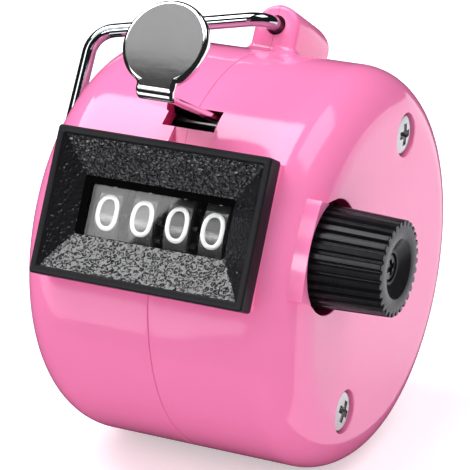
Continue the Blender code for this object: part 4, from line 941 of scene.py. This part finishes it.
def plate_side(d, arm_side):
    """One side of the strip, at a distance d along it from the thumb plate's middle.

    The outline is the plate's circle, then a small hollow arc at the neck, then the arm's straight
    side. The thickness falls by a quarter circle within the rolled edge.
    """
    reach = PLATE_RADIUS + NECK_FILLET
    side = arm_side + NECK_FILLET
    neck_low = -np.sqrt(reach**2 - side**2)
    neck_high = neck_low * PLATE_RADIUS / reach
    dist = ROLLED_EDGE * (1 - np.cos(np.radians(np.linspace(0, 90, 7))))[None, :]
    on_plate = np.sqrt(np.clip((PLATE_RADIUS - dist) ** 2 - d**2, 0, None))
    on_neck = side - np.sqrt(np.clip((NECK_FILLET + dist) ** 2 - (d - neck_low) ** 2, 0, None))
    on_arm = np.broadcast_to(arm_side - dist, on_plate.shape)
    x = np.where(d < neck_low, on_arm, np.where(d < neck_high, on_neck, on_plate))
    on_disc = PLATE_RADIUS - np.hypot(x, d)
    within = np.where(d < neck_high, dist, np.where(d < 0, np.maximum(on_disc, arm_side - x), on_disc))
    within = np.clip(within, 0, ROLLED_EDGE)
    fall = ROLLED_EDGE - np.sqrt(np.clip(ROLLED_EDGE**2 - (ROLLED_EDGE - within) ** 2, 0, None))
    thicker = np.clip((d - THICKER_FROM) / THICKER_OVER, 0, 1)
    thick = ARM_HALF_THICKNESS + (PLATE_HALF_THICKNESS - ARM_HALF_THICKNESS) * thicker
    height = thick - np.minimum(fall, thick)
    x = np.concatenate([x, x[:, -1:] * np.array([[0.985, 0.95, 0.66, 0.33, 0.0]])], 1)
    height = np.concatenate([height, np.repeat(height[:, -1:], 5, 1)], 1)
    return x, height


def plate_grid():
    """The strip laid along its path: straight arm, bend by an arc, then the leaning thumb plate."""
    lean = np.array([np.sin(PLATE_LEAN), np.cos(PLATE_LEAN)])
    rise = (PLATE_MIDDLE[1] - ARM_MIDDLE) / lean[1]
    corner = np.array([PLATE_MIDDLE[0] - rise * lean[0], ARM_MIDDLE])
    swing = np.pi / 2 + PLATE_LEAN
    tangent = BEND_RADIUS * np.tan(swing / 2)
    start = LEVER_PIN_Y
    first = (start - corner[0]) - tangent
    bend = BEND_RADIUS * swing
    plate_at = first + bend + rise - tangent
    arm = np.linspace(0, first, 12, endpoint=False)
    turn = np.linspace(first, first + bend, 18, endpoint=False)
    plate = plate_at + PLATE_RADIUS * np.sin(np.radians(np.linspace(-70, 90, 60)))
    neck = np.linspace(first + bend, plate[0], 8, endpoint=False)
    s = np.concatenate([arm, turn, neck, plate])
    d = s - plate_at
    left, left_up = plate_side(d[:, None], ARM_LEFT)
    right, right_up = plate_side(d[:, None], ARM_RIGHT)
    # Round the section: over the top from the left edge to the right, then back along the underside
    across = np.concatenate([-left, right[:, -2::-1], right, -left[:, -2::-1]], 1)
    up = np.concatenate([left_up, right_up[:, -2::-1], -right_up, -left_up[:, -2::-1]], 1)
    angle = np.clip((s - first) / BEND_RADIUS, 0, swing)
    centre = np.array([corner[0] + tangent, ARM_MIDDLE + BEND_RADIUS])
    in_bend = (s >= first) & (s < first + bend)
    past = s - first - bend
    end_bend = corner + lean * tangent
    bend_y = np.where(in_bend, centre[0] - BEND_RADIUS * np.sin(angle), end_bend[0] + lean[0] * past)
    bend_z = np.where(in_bend, centre[1] - BEND_RADIUS * np.cos(angle), end_bend[1] + lean[1] * past)
    y = np.where(s < first, start - s, bend_y)
    z = np.where(s < first, ARM_MIDDLE, bend_z)
    normal_y = np.sin(angle)
    normal_z = np.cos(angle)
    grid = np.stack([across, y[:, None] + up * normal_y[:, None], z[:, None] + up * normal_z[:, None]], -1)
    return capped(grid)


def plate_along_x(outline, low, high, edge=PRESSED_EDGE):
    """A flat plate square to X: its outline, drawn in by its edge rounding at both faces."""
    outline = np.array(outline, float)
    middle = outline.mean(0)
    small = middle + (outline - middle) * 0.94
    rows = [(low, small), (low + edge, outline), (high - edge, outline), (high, small)]
    loops = np.array([np.column_stack([np.full(len(loop), x), loop]) for x, loop in rows])
    return capped(loops)


def hull(circles, steps=64):
    """The outline of a band round several circles: in each direction the point that reaches furthest."""
    angle = 2 * np.pi * np.arange(steps) / steps
    direction = np.stack([np.cos(angle), np.sin(angle)], -1)
    circles = np.array(circles, float)
    furthest = (circles[None, :, :2] @ direction[:, :, None])[..., 0] + circles[None, :, 2]
    chosen = circles[np.argmax(furthest, 1)]
    return chosen[:, :2] + direction * chosen[:, 2:]


lever = surface("lever_strip", tilted(plate_grid()), sharp=50.0, material=bright_steel)
yoke_front, yoke_back, yoke_top = YOKE[0][1], YOKE[1][1], YOKE[1][2]
ear_foot = [(yoke_front, yoke_top, PRESSED_EDGE), (yoke_back, yoke_top, PRESSED_EDGE)]
ear = hull([(LEVER_PIN_Y, LEVER_PIN_Z, EAR_RADIUS)] + ear_foot)
drive = hull([(LEVER_PIN_Y, LEVER_PIN_Z, DRIVE_RADIUS), (*DRIVE_END, DRIVE_RADIUS)])
parts = [
    box(*YOKE),
    plate_along_x(ear, -EAR_FACES[1], -EAR_FACES[0]),
    plate_along_x(ear, *EAR_FACES),
    plate_along_x(drive, EAR_FACES[0] + PRESSED_EDGE, EAR_FACES[1] - PRESSED_EDGE),
]
strip_faces = len(lever.data.polygons)
merge_into(lever.data, [surface("lever_part", tilted(grid)) for grid in parts])
# The yoke, ears and drive inside the case get the darker steel: painted shade
lever.data.materials.append(dull_shaded_steel)
inside = (np.arange(len(lever.data.polygons)) >= strip_faces).astype(np.int32)
lever.data.polygons.foreach_set("material_index", inside)
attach(lever, "lever")
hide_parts("thumb_lever")

# Finger loop: one chromed wire bent square. It passes through the lug, goes out over the left rim
# and hangs beside the end, and it swings up about the lug's hole.
WIRE_RADIUS = 0.00078
LOOP_CORNERS = (
    (0.0, -0.0076, 0.0),
    (-0.0194, -0.0093, -0.0046),
    (-0.0194, -0.0093, -0.0204),
    (-0.0194, 0.0093, -0.0204),
    (-0.0194, 0.0093, -0.0046),
    (0.0, 0.0076, 0.0),
)
LOOP_BENDS = (0.0024, 0.0030, 0.0045, 0.0045, 0.0030, 0.0024)
CHROME = (0.50, 0.55, 0.56)
CHROME_DEEPER = (0.46, 0.51, 0.52)


def bent_wire(corners, bends, steps=14):
    """A closed line through corners, each turned by an arc that meets both its legs smoothly."""
    corners = np.array(corners)
    points = []
    for at, (corner, bend) in enumerate(zip(corners, bends)):
        before = corners[at - 1] - corner
        after = corners[(at + 1) % len(corners)] - corner
        before = before / np.linalg.norm(before)
        after = after / np.linalg.norm(after)
        half = np.arccos(before @ after) / 2
        middle = (before + after) / np.linalg.norm(before + after)
        centre = corner + middle * bend / np.sin(half)
        first = corner + before * bend / np.tan(half) - centre
        last = corner + after * bend / np.tan(half) - centre
        sweep = np.pi - 2 * half
        share = np.linspace(0, 1, steps + 1)[:, None]
        swept = np.sin((1 - share) * sweep) * first + np.sin(share * sweep) * last
        points.append(centre + swept / np.sin(sweep))
    return np.concatenate(points)


def wire_grid(points, radius, sides=28):
    """A round wire closed on itself: in the plane square to the run, the radius times cosine and sine."""
    run = np.roll(points, -1, 0) - np.roll(points, 1, 0)
    run /= np.linalg.norm(run, axis=1, keepdims=True)
    across = np.cross(run, np.array([0.6, 0.0, -0.8]))
    across /= np.linalg.norm(across, axis=1, keepdims=True)
    other = np.cross(run, across)
    angle = 2 * np.pi * np.arange(sides) / sides
    ring = across[:, None] * np.cos(angle)[:, None] + other[:, None] * np.sin(angle)[:, None]
    return points[:, None] + radius * ring


loop_points = bent_wire(LOOP_CORNERS, LOOP_BENDS) + (0.0, 0.0, DRUM_RADIUS + LUG_HOLE_HEIGHT)
chrome = finish(
    "chrome", CHROME, CHROME_DEEPER, 0.05, speckle=300.0, metallic=1.0, bump=0.015, bump_scale=900.0
)
loop_grid = tilted(wire_grid(loop_points, WIRE_RADIUS), LUG_SET_BACK)
loop = surface("loop_wire", loop_grid, wrap_rows=True, material=chrome)
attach(loop, "ring")
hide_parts("finger_loop")

# Reset knob: black moulding with thirty flutes and a dished end. A small dark screw in the dish
# holds it on the wheel shaft.
KNOB_START = 0.0112
KNOB_END = 0.0239
KNOB_BASE_RADIUS = 0.0055
KNOB_TIP_RADIUS = 0.0050
KNOB_FLUTES = 30
FLUTE_DEPTH = 0.00046
KNOB_EDGE = 0.0001
KNOB_BEVEL = 0.0002
DISH_RADIUS = 0.0031
DISH_FLOOR_RADIUS = 0.0018
DISH_DEPTH = 0.0009
KNOB_BORE = 0.0016
KNOB_SCREW_RADIUS = 0.0014
KNOB_SCREW_RECESS = 0.00075
KNOB_THROAT_RADIUS = 0.0007

# Rows of the knob's outline: place along the shaft, radius, and the share of a flute that cuts in
dish_floor = KNOB_END - DISH_DEPTH
recess_radius = KNOB_SCREW_RADIUS + KNOB_EDGE
knob_rows = [
    (KNOB_START, KNOB_BORE, 0.0),
    (KNOB_START, KNOB_BASE_RADIUS - 0.0012, 0.0),
    (KNOB_START, KNOB_BASE_RADIUS - KNOB_BEVEL, 0.8),
    (KNOB_START + KNOB_BEVEL, KNOB_BASE_RADIUS, 1.0),
]
for share in (0.25, 0.5, 0.75, 0.95):
    along = KNOB_START + share * (KNOB_END - KNOB_START)
    knob_rows.append((along, KNOB_BASE_RADIUS + share * (KNOB_TIP_RADIUS - KNOB_BASE_RADIUS), 1.0))
for a, b in arc(KNOB_END - KNOB_EDGE, KNOB_TIP_RADIUS - KNOB_EDGE, KNOB_EDGE, 90, 0, 5):
    knob_rows.append((a, b, 1.0))
knob_rows += [
    (KNOB_END, KNOB_TIP_RADIUS - 0.0009, 0.0),
    (KNOB_END, DISH_RADIUS + 0.00012, 0.0),
    (KNOB_END - 0.00006, DISH_RADIUS, 0.0),
    (KNOB_END - KNOB_BEVEL, DISH_RADIUS - 0.00008, 0.0),
    (dish_floor + KNOB_EDGE, DISH_FLOOR_RADIUS + KNOB_EDGE, 0.0),
    (dish_floor, DISH_FLOOR_RADIUS, 0.0),
    (dish_floor, recess_radius, 0.0),
    (dish_floor - KNOB_SCREW_RECESS, recess_radius, 0.0),
    (dish_floor - KNOB_SCREW_RECESS, KNOB_THROAT_RADIUS, 0.0),
    (dish_floor - 2 * KNOB_SCREW_RECESS, KNOB_THROAT_RADIUS, 0.0),
    (dish_floor - 2 * KNOB_SCREW_RECESS, KNOB_BORE, 0.0),
]


def fluted(rows, flutes, depth):
    """Rows of (x, radius, share) turned about X. Each flute is a rounded groove between flat ribs.

    The radius is less by the depth, times the row's share, times a smooth step of the cosine.
    """
    rows = np.array(rows)
    steps = flutes * 14
    angle = 2 * np.pi * np.arange(steps) / steps
    wave = np.clip(np.cos(angle * flutes) * 0.95 + 0.25, 0, 1)
    groove = wave * wave * (3 - 2 * wave)
    radius = rows[:, 1, None] - depth * rows[:, 2, None] * groove
    grid = np.empty((len(rows), steps, 3))
    grid[..., 0] = rows[:, 0, None]
    grid[..., 1] = SHAFT_Y + radius * np.cos(angle)
    grid[..., 2] = radius * np.sin(angle)
    return grid


knob_moulding = finish(
    "knob_moulding", BLACK, BLACK_GREYED, 0.28, speckle=700.0, bump=0.12, bump_scale=3500.0, gloss=0.2
)
knob_grid = tilted(fluted(knob_rows, KNOB_FLUTES, FLUTE_DEPTH))
knob = surface("knob_grip", knob_grid, wrap_rows=True, sharp=45.0, material=knob_moulding)
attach(knob, "reset")
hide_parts("reset_knob")

# Screws: zinc plated pan heads with a cross recess, sunk in the right shell, and the small
# blackened one in the knob's dish.
HEAD_RADIUS = 0.0022
HEAD_HEIGHT = 0.0011
HEAD_BASE = 0.01525
HEAD_SIDE = 0.7
SHANK_RADIUS = 0.00095
SCREW_TIP = -0.0133
RECESS_LENGTH = 0.00112
RECESS_WIDTH = 0.00032
RECESS_DEPTH = 0.00062
RECESS_SLOPE = 0.00014
HEAD_BEVEL = 0.0001
ZINC = (0.50, 0.49, 0.50)
ZINC_DEEPER = (0.42, 0.42, 0.43)
BLACKENED = (0.10, 0.10, 0.105)
BLACKENED_DEEPER = (0.075, 0.075, 0.08)
KNOB_HEAD_HEIGHT = 0.0007
KNOB_SHANK = (0.0006, 0.0034)
KNOB_RECESS = (0.0008, 0.00024, 0.0003)


def screw_grid(base, head_height, head_radius, shank_radius, tip, recess, y, z, turn):
    """A pan head on a shank. The crown falls by an oval from its middle, and the cross is sunk in it.

    The recess depth grows from nothing to full within a sloping edge, measured to the nearer bar.
    """
    length, width, depth = recess
    shank = [
        (tip, 0.0),
        (tip + shank_radius, shank_radius),
        (base - HEAD_BEVEL, shank_radius),
        (base, shank_radius),
        (base, head_radius - HEAD_BEVEL),
        (base + HEAD_BEVEL, head_radius),
    ]
    side = [(base + head_height * HEAD_SIDE, head_radius)]
    radius = np.concatenate([np.linspace(1, 0.8, 12, endpoint=False), np.linspace(0.8, 0, 60)]) * head_radius
    crown = np.sqrt(np.clip(1 - (radius / head_radius) ** 2.6, 0, 1))
    dome = base + head_height * (HEAD_SIDE + (1 - HEAD_SIDE) * crown)
    rows = np.concatenate([shank, side, np.column_stack([dome, radius])])
    steps = 144
    angle = 2 * np.pi * np.arange(steps) / steps
    a = rows[:, 1, None] * np.cos(angle)
    b = rows[:, 1, None] * np.sin(angle)
    bar_one = np.minimum(length - np.abs(a), width - np.abs(b))
    bar_two = np.minimum(length - np.abs(b), width - np.abs(a))
    inside = np.clip(np.maximum(bar_one, bar_two) / RECESS_SLOPE + 0.5, 0, 1)
    on_head = np.arange(len(rows)) >= len(shank)
    x = rows[:, 0, None] - depth * inside * on_head[:, None]
    cosine, sine = np.cos(turn), np.sin(turn)
    return np.stack([x, y + a * cosine - b * sine, z + a * sine + b * cosine], -1)


zinc = finish("zinc_plate", ZINC, ZINC_DEEPER, 0.24, speckle=900.0, metallic=1.0, bump=0.05)
black_steel = finish(
    "blackened_steel",
    BLACKENED,
    BLACKENED_DEEPER,
    0.3,
    speckle=1200.0,
    metallic=1.0,
    bump=0.05,
    bump_scale=3000.0,
)
case_recess = (RECESS_LENGTH, RECESS_WIDTH, RECESS_DEPTH)
for name, (y, z), turn in zip(("top_case_screw", "bottom_case_screw"), CASE_SCREWS, (0.35, -0.2)):
    grid = screw_grid(HEAD_BASE, HEAD_HEIGHT, HEAD_RADIUS, SHANK_RADIUS, SCREW_TIP, case_recess, y, z, turn)
    screw = surface(name + "_head", tilted(grid), sharp=40.0, material=zinc)
    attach(screw, "case")
    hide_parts(name)
head_base = dish_floor - KNOB_HEAD_HEIGHT
shank_radius, shank_length = KNOB_SHANK
shank_tip = head_base - shank_length
knob_head = (head_base, KNOB_HEAD_HEIGHT, KNOB_SCREW_RADIUS, shank_radius, shank_tip)
grid = screw_grid(*knob_head, KNOB_RECESS, SHAFT_Y, 0.0, 0.5)
knob_screw = surface("knob_screw_head", tilted(grid), sharp=40.0, material=black_steel)
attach(knob_screw, "reset")
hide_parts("knob_screw")

# Works inside: pressed steel side plates with their spacers and pins, nylon gears on a steel shaft,
# and sprung steel leaves and coils. They show only through the slot and the knob's hole.
PRESSED = (0.50, 0.50, 0.51)
PRESSED_DEEPER = (0.42, 0.42, 0.43)
TURNED = (0.58, 0.58, 0.59)
TURNED_DEEPER = (0.50, 0.50, 0.51)
SPRUNG = (0.42, 0.42, 0.44)
SPRUNG_DEEPER = (0.34, 0.34, 0.36)
NYLON = (0.62, 0.60, 0.54)
NYLON_DEEPER = (0.54, 0.52, 0.47)

pressed_steel = finish(
    "pressed_steel", PRESSED, PRESSED_DEEPER, 0.36, speckle=500.0, metallic=1.0, bump=0.08, bump_scale=1500.0
)
turned_steel = finish("turned_steel", TURNED, TURNED_DEEPER, 0.28, speckle=800.0, metallic=1.0)
spring_steel = finish("spring_steel", SPRUNG, SPRUNG_DEEPER, 0.3, speckle=1500.0, metallic=1.0)
nylon = finish("gear_nylon", NYLON, NYLON_DEEPER, 0.42, speckle=1200.0, bump=0.05, bump_scale=3000.0)
for names, material in (
    (("left_frame_plate", "right_frame_plate"), pressed_steel),
    (("top_spacer", "bottom_spacer", "spring_post", "lever_pin"), turned_steel),
    (("reset_shaft", "pinion_shaft", "pawl_pin"), turned_steel),
    (("return_spring", "click_spring", "shaft_clip"), spring_steel),
    (("thousands_pinion", "hundreds_pinion", "tens_pinion", "ratchet_wheel", "drive_pawl"), nylon),
):
    for name in names:
        dress(name, material)
